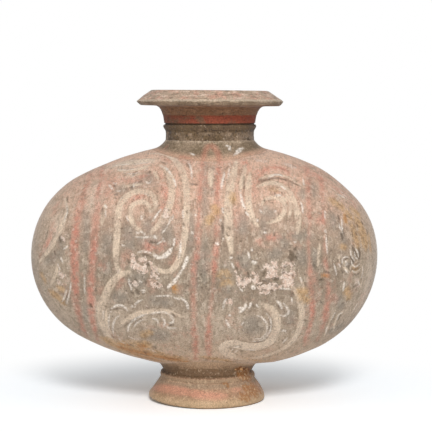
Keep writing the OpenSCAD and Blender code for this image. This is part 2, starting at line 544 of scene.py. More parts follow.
# The painter's strokes, read as places in the picture, each with its width, all in pixels.
red_bands_px = [
    (5, [(203.5, 153), (202.5, 160), (201, 172), (200, 186), (199.4, 202), (198.6, 222), (197.6, 242),
         (196, 256), (193.8, 270), (193.2, 290), (193.4, 310), (194.4, 330), (195.4, 345), (196.4, 359)]),
    (5.6, [(215, 148), (217.5, 153), (219, 160), (218.4, 172), (217.6, 188), (217, 204), (216.6, 218),
           (216.8, 230), (216, 244), (215.2, 256), (214.2, 270), (213.8, 281)]),
    (2.6, [(213.8, 281), (211.4, 304), (209.2, 320)]), (5.6, [(209, 318), (208.4, 340), (208.4, 360)]),
    (9, [(90, 173), (85.6, 186), (81, 202), (77.5, 217), (74.8, 231), (74.2, 245), (74.8, 258),
         (74.4, 272), (75.2, 288), (76.2, 300), (78.2, 313), (82, 326), (87, 337)]),
    (8, [(102.4, 167), (100.5, 180), (98.5, 192), (97, 206), (96.2, 220), (94.6, 236), (93.6, 250),
         (92.4, 264), (91, 280), (91, 296), (91, 310), (92.6, 322), (95.6, 334), (99, 343)]),
    (5.2, [(307.5, 164), (308.4, 180), (308.6, 196), (309.4, 210)]),
    (2.6, [(309.4, 206), (309.6, 226), (308.4, 244), (309.6, 262), (310.4, 280), (312.2, 296)]),
    (5.2, [(311.4, 290), (312.6, 310), (310.6, 322), (307.4, 334), (304.6, 344)]),
    (4.4, [(320.4, 170), (322, 186), (322.5, 200), (323, 206)]),
    (2.6, [(323, 202), (323.5, 214), (324, 230), (325, 246), (326, 262)]),
    (4.6, [(326, 258), (327, 276), (328.4, 292), (327, 308), (325.4, 318), (321.6, 330), (317, 340)]),
]
strong_red_px = [
    (9, [(75.6, 228), (74, 244), (75, 260)]), (7.6, [(75, 258), (75, 270), (75.6, 284)]),
    (5.6, [(76, 284), (76.6, 302)]), (3.6, [(77.6, 306), (79.4, 316)]), (3, [(82, 325), (84, 330)]),
    (3.4, [(77.8, 217), (76, 226)]), (6, [(95, 240), (94.2, 250), (93, 262)]),
    (3, [(99, 184), (98, 193)]), (7.6, [(91, 278), (91.2, 292), (91.2, 306)]),
    (6, [(91.2, 304), (92, 316), (94.6, 330)]), (4, [(101.6, 171), (102, 177)]),
    (4.4, [(218, 166), (217.6, 184)]), (3.8, [(217, 187), (217.2, 194)]),
    (3.6, [(217.4, 223), (217, 236)]), (4.8, [(216, 246), (215.4, 257)]),
    (4.4, [(214.4, 262), (214, 274)]), (5.4, [(208.6, 326), (208.4, 342), (208.4, 359)]),
    (2.6, [(208.8, 316), (208.4, 328)]), (3, [(199.8, 190), (199, 204)]),
    (3.4, [(198.2, 227), (197.6, 244)]), (3, [(197.6, 255), (196.6, 260)]),
    (2.6, [(193.4, 262), (192.8, 272)]), (6, [(194, 325), (195, 338), (196, 359)]),
    (4, [(309, 183), (308.6, 194)]), (3.2, [(309.8, 208), (309.8, 222)]),
    (5.4, [(312.4, 301), (312, 320)]), (3.6, [(310.4, 322), (308, 332)]), (5, [(327, 301), (325.4, 320)]),
    (3.2, [(321.4, 173), (321.8, 186)]), (3, [(322.4, 211), (322.6, 223)]), (4, [(325, 257), (326, 268)]),
    (3, [(318, 336), (317, 340)]), (3.4, [(306, 334), (305, 340)]),
    (6.4, [(146.6, 244.6), (151, 247.5), (157, 248.6), (161.6, 246)]),
    (4.6, [(163, 183), (165.6, 193), (165.6, 201), (163, 207)]),
    (2.6, [(136, 177), (143, 176.2), (149, 178)]), (2.6, [(126, 180.8), (131, 180.6), (136, 182)]),
    (2.4, [(132, 198.4), (139, 197), (146, 194.6)]), (3.6, [(258, 171), (256.8, 181)]),
    (3, [(254.6, 184), (254.4, 195)]), (4.6, [(257.6, 176), (266, 169.6), (278, 167.4), (289.4, 172)]),
    (2.4, [(280, 188.8), (284, 190.6), (287.4, 195)]), (2.8, [(272, 190), (279, 190.4)]),
    (3.4, [(246, 161), (244.6, 168)]), (3, [(256.6, 241), (262, 239), (267, 237.6), (274, 237)]),
    (5, [(39.6, 256), (45, 248), (50.8, 238.6)]), (2.6, [(187, 222), (187.6, 231)]),
    (2.6, [(236.4, 262), (239.4, 269)]), (3.4, [(216, 242), (218.4, 245)]), (3, [(66, 252), (69, 254)]),
    (3.4, [(100.6, 262), (103, 270)]),
]
worn_red_px = [
    (13, [(107, 172), (110, 184), (106, 196)]), (10, [(120, 180), (136, 179), (150, 176)]),
    (9, [(160, 176), (164, 188), (165, 200), (160, 212)]),
    (6, [(176, 188), (177, 204), (178, 222), (179, 244)]),
    (10, [(163, 156), (172, 160), (182, 158), (192, 162)]), (8, [(180, 232), (178, 252), (172, 264)]),
    (12, [(142, 245), (152, 247), (164, 244)]), (9, [(128, 252), (124, 262)]),
    (9, [(118, 286), (122, 280)]), (9, [(243, 160), (246, 166), (243, 174)]),
    (8, [(258, 170), (256, 182), (254, 196)]), (9, [(234, 206), (235, 216), (236, 228)]),
    (8, [(260, 172), (270, 168), (282, 168), (288, 174)]), (14, [(298, 166), (312, 172), (326, 180)]),
    (12, [(336, 186), (346, 192), (356, 204)]), (10, [(258, 242), (270, 239), (280, 238)]),
    (10, [(310, 270), (312, 284), (316, 298)]), (12, [(330, 292), (334, 302)]),
    (9, [(54, 222), (50, 236), (42, 250)]), (10, [(58, 202), (54, 212)]), (8, [(102, 256), (104, 268)]),
    (8, [(326, 310), (322, 326)]), (8, [(318, 214), (320, 226)]), (10, [(222, 160), (220, 168)]),
    (7, [(294, 188), (292, 200)]), (8, [(134, 200), (142, 197)]),
    (9, [(204, 160), (206, 172), (206, 186)]), (7, [(150, 282), (152, 290)]),
]
cream_px = [
    # Upper left scroll: a leaf on the shoulder, an outer band that ends in a hook, and a spiral.
    (6.6, [(149, 153.6), (160, 153.4), (170, 156.4), (177, 162.4), (181.6, 169), (184.6, 178),
           (186.4, 188), (186.8, 200), (186.4, 214), (185.6, 226), (184, 240), (181, 253), (178, 262),
           (172, 269.6), (165, 271.6), (157.6, 269.4), (151, 264)]),
    (7, [(160, 164.6), (166, 168.6), (170.4, 177), (172, 188), (171.4, 198), (168.4, 208), (163, 219.4),
         (157.6, 226), (151.4, 232)]),
    (7, [(124.6, 273.6), (118, 269), (116, 257), (116.4, 244), (117.2, 231), (117.8, 218), (119.4, 207),
         (123.4, 199), (129, 194.4), (137, 191.4), (145, 191.6), (151.6, 195), (155.4, 201),
         (155, 207.6), (150.6, 212)]),
    (5.4, [(150, 211), (148.6, 205.6), (143.4, 202.2), (137, 202.6), (132, 206.4), (130.6, 213),
           (132, 220.6), (136, 227), (141.6, 231)]),
    (8.4, [(112, 166.4), (121, 163.4), (131, 162), (142, 160.6), (154, 160)]),
    (5.4, [(118, 169.4), (128, 170.6), (139, 168.4), (150, 165)]),
    (3.4, [(126, 174.6), (133, 175.4), (142, 172.4)]), (3, [(153.6, 170), (155.8, 174), (158.4, 179)]),
    (3.4, [(122, 188), (126, 186.4), (134, 185), (142, 184)]),
    (5, [(105, 204), (103.6, 213), (102, 224)]),
    # Lower left scroll: a long curve under a comma.
    (8.2, [(129, 272), (121, 274.8), (114, 280.6), (108.6, 289), (104.6, 298), (101.4, 307),
           (100.8, 316), (102, 324), (105, 331), (110, 338.4), (117, 343.4), (126, 347)]),
    (5.6, [(120.6, 326), (124, 322.4), (129, 318.6), (137, 314.6), (148, 312), (158, 311.2), (168, 312),
           (178, 315.6), (184, 317)]),
    (3, [(115.4, 312), (119.4, 313.4)]), (3.4, [(106.6, 309), (106, 318), (107.6, 327), (111.6, 334)]),
    # Upper right scroll: three bands fall beside a small spiral.
    (8.2, [(236, 162), (234.4, 170), (231.4, 181), (229.4, 194), (228.4, 208), (228.6, 222),
           (229.4, 236), (231.6, 253)]),
    (4.6, [(245.6, 164), (244, 174), (241.4, 184), (240.8, 190)]),
    (6.4, [(250, 173), (248.6, 184), (248.2, 196), (249.4, 208), (252.6, 219), (257.6, 226)]),
    (5.6, [(256.6, 187), (265, 184), (273, 182.8), (281, 185), (288, 190), (293, 197.6), (295.4, 208),
           (295.8, 218)]),
    (3.8, [(272, 190.4), (280, 189.4), (286, 193.6), (290, 201), (290.6, 210), (288, 219)]),
    (4.6, [(262, 205), (265, 199.6), (272, 197.4), (279, 199), (284.4, 204.6), (283.6, 213), (277, 220),
           (267, 223)]),
    (6.6, [(277, 196.6), (286, 200)]), (5, [(297.4, 208), (299, 217), (298.6, 225), (297.4, 233)]),
    (3, [(258, 180), (266, 176.6), (276, 174.6), (288, 177), (301, 185.4)]),
    (5.4, [(210.6, 168), (210.4, 186)]),
    # Lower right scroll: two open rings round a bare round.
    (6.2, [(289, 282), (295.4, 290.6), (299.6, 300), (301.6, 310), (301.2, 320), (298, 330), (292, 340),
           (283, 347), (273, 351.8), (262, 355.4), (250, 358), (240, 359), (233, 357.6)]),
    (8, [(262, 304), (269, 307.4), (275, 313.4), (277, 321), (275.6, 331), (270, 339)]),
    (13, [(275.4, 331), (270, 339.4), (261, 345), (250, 346.6), (240, 345), (229, 343.6), (223, 346)]),
    (11, [(224, 344), (223.6, 348.4), (227, 353.6), (234, 357.4)]),
    # The leaf on the left end and the curls on the right end.
    (6, [(65, 198), (67, 206), (66.4, 213), (62.8, 223), (58.6, 232.6), (53.6, 242.4), (47.4, 252),
         (39.4, 262)]),
    (4.2, [(57.4, 265), (55.4, 274.6), (50, 286)]), (4.4, [(53.8, 290), (60, 289), (66.4, 293)]),
    (2.8, [(46, 212), (44, 222)]),
    (3.4, [(348, 260), (344, 263), (344.6, 268), (349, 270), (351.4, 266)]),
    (2.8, [(341, 255), (338.6, 259), (340.6, 262.6)]),
    (2.6, [(336.6, 205), (336.4, 198.6), (340.4, 194.4), (347, 195.6), (351, 200)]),
    (2.8, [(333.6, 330), (335, 321), (339.6, 314), (347, 310)]),
    (3, [(350.6, 316), (354, 309), (358.6, 302)]), (3.8, [(360, 289), (362.4, 279), (362.4, 266)]),
    (2.6, [(324, 336), (326.4, 330), (330, 320), (334, 312.6)]),
    (3, [(319.6, 244), (318.6, 256), (317.8, 266)]), (3, [(299, 275), (302, 283), (304, 290)]),
]
white_px = [
    # Upper left scroll.
    (2.6, [(159.6, 165.6), (163, 166.6), (166.8, 168.6), (169.8, 172.4), (171.6, 176)]),
    (2.2, [(173.4, 178), (174.8, 182), (176, 187)]),
    (2.2, [(187.6, 161.6), (190, 165), (191.2, 170), (192, 178)]),
    (2.2, [(161, 209.4), (157.6, 213.6), (154.6, 218), (152, 221)]),
    (1.8, [(170.6, 217), (169, 223), (165, 229.6), (162.4, 233)]), (1.6, [(173.4, 215), (172, 220)]),
    (2.6, [(136.6, 232), (138.4, 234)]), (2, [(140.6, 231), (145, 234.6)]),
    (1.6, [(135.6, 237), (142, 237.4), (150, 237)]), (3, [(154.6, 236), (156, 239)]),
    (1.8, [(157, 244), (162, 241)]), (1.8, [(122, 245), (126, 246)]), (1.8, [(163, 238), (164.6, 242)]),
    (2.4, [(174.4, 238), (173.8, 246)]), (5, [(171.6, 248.6), (167.4, 254), (162, 257.6)]),
    (3.6, [(162, 258), (157.6, 257.4), (153.4, 254.6)]),
    (2, [(152, 253.4), (147, 251.8), (142, 251.4), (138, 252.4)]),
    (2.4, [(180.6, 240), (180.4, 250), (179, 258)]), (3.6, [(187.4, 257), (185, 264), (182, 270)]),
    (3, [(181, 271), (177.4, 277), (172.6, 282.4)]), (3.4, [(171, 284), (168, 288)]),
    (2, [(176.6, 281), (172, 285)]), (2.4, [(133.6, 187), (134.4, 183.6), (137, 182)]),
    (2.4, [(145, 181), (148.4, 183), (150.4, 181.6)]),
    (2.2, [(108.6, 184.4), (111, 187), (112.6, 189.4)]), (2.2, [(113, 182.6), (117, 183.6)]),
    (1.8, [(117, 191), (120, 191)]), (2.4, [(131, 173.4), (134.6, 173.6)]),
    (2, [(131, 176.6), (134, 175.6)]), (1.6, [(136, 173), (139.6, 171)]),
    (1.8, [(144.6, 170), (148.6, 168)]), (1.6, [(127, 160.4), (135, 159.6)]),
    (2.6, [(105, 205), (107, 207.6)]), (1.8, [(105.8, 210), (105.6, 217)]),
    (2.6, [(141.2, 216), (142, 220)]), (1.6, [(144.6, 193), (149, 196)]), (2, [(183, 210), (183.2, 218)]),
    (2, [(194.6, 202), (195, 204.6)]), (2.2, [(194.6, 215), (196, 215)]), (2, [(192, 231.4), (193, 234)]),
    (1.8, [(183, 226), (183.6, 228)]), (1.8, [(126, 216), (128.6, 221)]),
    # Lower left scroll.
    (2.2, [(134.8, 307.4), (136, 304), (139, 301.4), (142.6, 300)]), (2.6, [(131.6, 305.6), (133, 308)]),
    (1.7, [(156, 296.4), (164, 296), (172, 296.4)]), (1.8, [(174, 297.6), (180, 299.4)]),
    (2.8, [(181, 297.6), (185, 301), (187.2, 305), (188, 309)]),
    (2.8, [(111.6, 309), (116, 306.2), (121.6, 306), (125, 308), (127.4, 311)]),
    (1.8, [(110, 312.4), (112, 312)]), (1.6, [(109.4, 315), (108.8, 322), (109, 329)]),
    (2.2, [(119.6, 315.4), (114.6, 321), (112.8, 328), (113.8, 336)]),
    (2.4, [(127.8, 332), (128.6, 327), (132, 322), (139, 317.4), (147, 314.6)]),
    (2, [(133, 328.4), (137, 323.4), (143, 320)]),
    (2.4, [(150, 314.4), (157, 312.8), (165, 312.6), (170, 315)]),
    (2.8, [(170, 315), (173, 319), (172.4, 322.6), (168.4, 323.4)]),
    (2.2, [(152.4, 319), (157, 320), (158.2, 324)]), (2.2, [(162, 318), (165, 322), (163.6, 327)]),
    (2.4, [(166.6, 326), (169.4, 328.6), (177, 328)]), (2.2, [(128.8, 279), (130, 285), (132, 291)]),
    (2, [(139, 281), (142, 282.6)]), (2.2, [(141, 290.4), (144.6, 291), (142, 293)]),
    (2.6, [(152.4, 350.4), (156, 352.6)]), (2, [(147.6, 348.6), (150, 350)]),
    (1.7, [(129, 336.6), (134, 339), (139, 339)]), (1.6, [(118, 335), (121, 341), (126, 344)]),
    (1.6, [(103.2, 311), (103.4, 319)]),
    # Upper right scroll.
    (2.4, [(224.6, 171.6), (223.6, 177), (222, 183.4), (221.4, 188.6)]),
    (2.4, [(222.6, 208), (223.2, 213)]), (3, [(219.6, 221), (221, 220)]),
    (2.2, [(223, 238), (223.4, 240)]), (2, [(227.6, 239.4), (230, 237)]),
    (2.8, [(240.6, 191), (241.2, 197), (242.6, 203), (245, 208.6)]), (2, [(245.6, 211.6), (249.4, 217)]),
    (2.6, [(267.6, 178.4), (272.6, 175.4), (278.6, 174.4), (283, 176.4)]),
    (3.2, [(275, 195.4), (280, 195.4)]), (2.4, [(281, 186), (285.4, 189)]),
    (3, [(274.6, 211), (275.4, 212)]), (2, [(260, 209.6), (262, 213)]),
    (2, [(300.6, 201), (302.4, 207.6), (303, 213)]), (1.8, [(303, 177), (304, 186)]),
    (2.2, [(264, 232.4), (266.4, 232.4)]), (2.4, [(228.6, 163.6), (230, 165)]),
    (1.8, [(229.4, 168), (228, 178)]), (2, [(257, 219), (258, 222)]),
    (2.2, [(247.8, 251.6), (249.8, 258.6)]), (2.8, [(251.6, 249.4), (252.4, 251)]),
    (4.4, [(253, 261.6), (256, 263)]), (2.6, [(229.6, 257.4), (232, 258)]), (2, [(231, 262), (234, 268)]),
    (3.6, [(216, 242.6), (218.6, 244)]), (3, [(325.4, 229), (325.8, 232.4)]),
    (2, [(326, 235), (326.6, 245), (327.4, 254)]), (1.8, [(325, 209.6), (325, 218)]),
    (2, [(280, 288), (290, 289)]), (2, [(294, 242), (296, 242)]),
    # Lower right scroll.
    (2.2, [(227, 298.6), (224.4, 302), (223, 309)]), (2.6, [(226.4, 320), (228, 324), (229.6, 327.6)]),
    (2.2, [(229, 314), (230.4, 316)]), (4, [(238.6, 308), (243, 308.6), (240, 312)]),
    (3, [(244.6, 309), (246, 304)]), (3, [(249, 308), (251, 303)]),
    (2, [(257, 315), (262, 317), (266, 322), (267, 328), (265, 334), (260, 337.6), (253, 338)]),
    (1.8, [(266.4, 313), (270.4, 319), (271, 326), (268.6, 333), (262.6, 338.6), (255, 340.6),
           (249, 340.4)]),
    (2.8, [(276.4, 300.6), (280, 303.6), (281.6, 308)]),
    (2.6, [(283.4, 303), (287, 306.6), (288.2, 312), (284, 315), (280, 314.4)]),
    (2.2, [(256, 304), (258.6, 307)]), (2.6, [(241.4, 325), (243.4, 321.6)]),
    (2.6, [(280.6, 330), (284, 329), (286, 331)]), (2.2, [(282, 342), (287, 336.4)]),
    (2, [(300, 277), (302, 282)]), (2.2, [(231.6, 350.6), (235, 347.4), (240, 346.4)]),
    (2, [(234.6, 352.6), (238, 349.6)]), (1.8, [(245, 348.8), (256, 349.6)]),
    (4.6, [(252.4, 286.4), (254, 288.4)]), (2, [(240, 289), (243, 291)]), (2, [(291, 297), (292, 302)]),
    # The two ends.
    (2, [(66.6, 203), (67, 212), (63.8, 222)]), (2, [(70.8, 283), (69.6, 293), (66.6, 304)]),
    (1.8, [(66.6, 290), (64.6, 297), (62, 302)]), (2.2, [(61, 257.6), (63, 262.6)]),
    (1.8, [(84.4, 275), (84.6, 294)]), (2.4, [(64, 249), (67.6, 246)]), (1.8, [(58, 264), (60, 270)]),
    (1.8, [(341.6, 217), (342.4, 232)]), (2, [(350, 249), (351.6, 256), (354.4, 261)]),
    (2.2, [(355.4, 248), (357.4, 252), (358.4, 257)]), (2.4, [(338.4, 264), (340.6, 267)]),
    (2.2, [(344, 261), (347, 263.4), (345, 266)]), (2.2, [(345, 270), (347.6, 273)]),
    (2, [(334, 264), (336.6, 275)]), (2.4, [(344.4, 282), (343, 291)]),
    (2, [(336.6, 320), (339, 314), (343, 312.6)]), (2, [(335, 312), (331.4, 319)]),
    (1.8, [(358, 303), (352, 313)]), (2, [(325.6, 332), (327, 326)]), (2.6, [(338, 192), (345, 194)]),
    (1.8, [(357, 280), (359.6, 285)]), (1.8, [(87, 332), (89, 334)]),
    (1.8, [(350.6, 260), (352.6, 265), (356, 266.6), (359.6, 264)]),
    (1.6, [(354.4, 252), (355.6, 257), (357.6, 259)]),
    (1.6, [(342.4, 265), (342.4, 260), (345.4, 257), (349, 257.4)]),
    (1.6, [(362.6, 267), (362.4, 273), (361, 279)]), (1.6, [(352, 271), (355.6, 272.4), (359, 270)]),
    (1.6, [(339, 222), (340, 227), (341.6, 229)]),
    # The leaf on the left shoulder.
    (2.2, [(112, 166), (120, 164.4), (130, 163.4)]), (2, [(117, 169), (127, 169.6), (136, 168)]),
    (2, [(134, 164), (143, 162.6), (151, 162)]), (1.8, [(124, 172.4), (132, 173.8), (140, 171.6)]),
]
flaked_slip_px = [
    (10, [(134, 264), (139, 268), (146, 269)]), (6, [(133.4, 256), (134, 262)]),
    (6, [(140, 259), (146, 259)]), (5, [(149, 261), (152, 267), (156, 271)]),
    (5.4, [(153, 274), (157.6, 277)]), (4, [(152.4, 281), (153, 287)]), (4.6, [(157, 283), (161, 287)]),
    (5, [(133, 282), (137, 284)]), (8, [(267, 266), (271, 272), (276, 276)]),
    (6, [(266, 276), (272, 275)]), (9, [(284, 275), (288, 279), (291, 283)]),
    (7, [(259, 286), (269, 287), (280, 286)]), (6, [(241, 285), (246, 281), (251, 279)]),
    (5.6, [(252, 273), (256, 276), (254, 282)]), (4.6, [(236, 273), (239, 281), (241, 287)]),
    (5, [(284, 286), (287, 281)]), (3.6, [(282.6, 268), (288, 263)]), (5.6, [(273, 264), (277, 267)]),
    (5, [(292, 272), (294, 277)]), (4, [(262, 291), (270, 291)]), (4, [(290, 262), (293, 267)]),
    (7, [(284, 163), (289, 165), (294, 167)]), (6, [(60, 273), (64, 277)]), (3.6, [(58, 282), (62, 285)]),
    (5, [(166, 210), (165, 218)]), (4, [(228, 300), (232, 304)]), (4.4, [(340, 188), (348, 194)]),
    (5, [(256, 160), (266, 161)]), (4, [(62, 236), (65, 242)]), (4.6, [(356, 281), (358, 287)]),
]
bare_grey_px = [
    (6, [(205.4, 164), (205, 190), (204, 216)]), (4, [(212.6, 170), (212, 196)]),
    (13, [(128, 226), (129, 240), (132, 248)]), (10, [(147, 222), (150, 231)]),
    (14, [(140, 242), (158, 240)]), (15, [(166, 228), (168, 242)]), (13, [(132, 281), (141, 284)]),
    (9, [(134, 277), (144, 276)]), (13, [(263, 211), (272, 214)]), (9, [(264, 220), (264, 236)]),
    (12, [(243, 258), (246, 265)]), (9, [(294, 236), (310, 236)]), (9, [(60, 238), (62, 250)]),
    (5.6, [(222.6, 222), (222.4, 236)]), (10, [(314, 250), (315, 268)]), (7, [(341, 230), (345, 243)]),
    (8, [(85, 210), (87, 230), (85, 250)]), (10, [(86, 304), (86, 322)]), (9, [(280, 238), (286, 246)]),
    (20, [(250, 322), (256, 328)]), (18, [(145, 334), (166, 336)]), (12, [(108, 236), (107, 252)]),
    (8, [(106, 272), (108, 262)]), (9, [(190, 214), (191, 236), (189, 252)]),
    (8, [(205, 240), (204, 282)]), (8, [(226, 266), (228, 292)]), (12, [(242, 216), (243, 232)]),
    (10, [(118, 189), (126, 190)]), (7, [(302, 190), (303, 198)]), (10, [(338, 298), (342, 308)]),
    (10, [(333, 214), (334, 228)]), (11, [(62, 252), (46, 262)]), (8, [(184, 236), (188, 244)]),
    (7, [(313, 182), (314, 196)]), (9, [(132, 187), (141, 182)]), (8, [(148, 172), (151, 184)]),
    (10, [(176, 150), (196, 154)]), (9, [(226, 150), (232, 155)]), (7, [(352, 262), (346, 268)]),
    (12, [(300, 252), (302, 262)]), (10, [(280, 252), (270, 256)]), (10, [(150, 300), (170, 304)]),
    (12, [(116, 300), (124, 296)]), (10, [(290, 310), (290, 322)]), (10, [(330, 330), (342, 326)]),
    (6, [(96, 242), (94.6, 262)]), (6, [(197.4, 246), (196.6, 264), (196.4, 288)]),
]
soil_px = [
    (20, [(104, 339), (114, 343.4), (126, 347.6), (138, 351)]),
    (24, [(134, 350), (148, 353.6), (162, 357)]),
    (12, [(112, 346), (126, 351.6), (140, 356), (152, 359.4), (162, 361.4)]),
    (20, [(160, 356.6), (172, 359), (184, 361)]), (9, [(128, 341), (138, 344), (150, 345)]),
    (15, [(356, 216), (363, 232), (366, 248)]), (10, [(352, 222), (356, 236), (358, 248)]),
    (8, [(346, 208), (352, 218)]), (4.6, [(345.6, 212), (346.4, 222)]), (4.6, [(341, 247.6), (346, 247)]),
    (6, [(369, 234), (371, 250)]), (6, [(353, 268), (357, 269)]), (10, [(352, 206), (360, 214)]),
    (8, [(145, 342), (148, 348)]), (5, [(113, 341), (122, 342), (132, 344)]),
    (5, [(219, 276), (224, 272), (229, 276)]), (4, [(222, 285), (227, 281), (232, 284)]),
    (4.6, [(174.4, 285), (175.4, 291)]), (9, [(50, 292), (58, 298), (64, 304)]),
    (6, [(58, 288), (64, 290)]), (7, [(298, 290), (306, 292)]), (8, [(207, 224), (212, 216)]),
    (7, [(232.6, 194), (233.4, 202)]), (3.6, [(271, 189.6), (277, 190)]), (8, [(300, 296), (308, 300)]),
    (7, [(40, 274), (46, 282)]), (6, [(200, 357), (216, 359), (232, 362)]),
    (5, [(244, 358), (262, 360), (276, 357)]), (9, [(346, 290), (350, 298)]),
    (10, [(330, 198), (344, 206)]), (9, [(142, 336), (150, 332)]), (7, [(214, 206), (217, 214)]),
]
iron_crust_px = [
    (7, [(134, 354), (146, 357.6), (158, 360.4)]), (8, [(118, 346.4), (132, 350.4)]),
    (12, [(128, 350), (140, 352.4), (152, 355)]), (9, [(150, 355), (164, 358), (180, 360)]),
    (3.4, [(120, 343.6), (130, 345.6)]), (4, [(138, 347), (146, 346)]), (2.8, [(323, 275), (328, 276.6)]),
    (4, [(142, 349), (147, 351)]), (3.6, [(176, 360.6), (190, 362)]), (3, [(174.6, 286), (175.4, 291)]),
    (3, [(345.4, 214), (346, 220)]),
]
# Pale patches, partly painted light along the ends' edges and on the upper left.
pale_wash_and_light_px = [
    (13, [(369, 256), (369, 272), (366, 290), (360, 306)]), (9, [(352, 180), (362, 196)]),
    (20, [(190, 353), (212, 356), (230, 358)]), (20, [(106, 170), (114, 165), (132, 164), (154, 161)]),
    (16, [(99, 180), (96, 196), (95, 212)]), (15, [(92, 296), (92, 312), (95, 326)]),
    (12, [(61, 214), (53, 236), (45, 252)]), (10, [(120, 178), (136, 178), (150, 178)]),
]
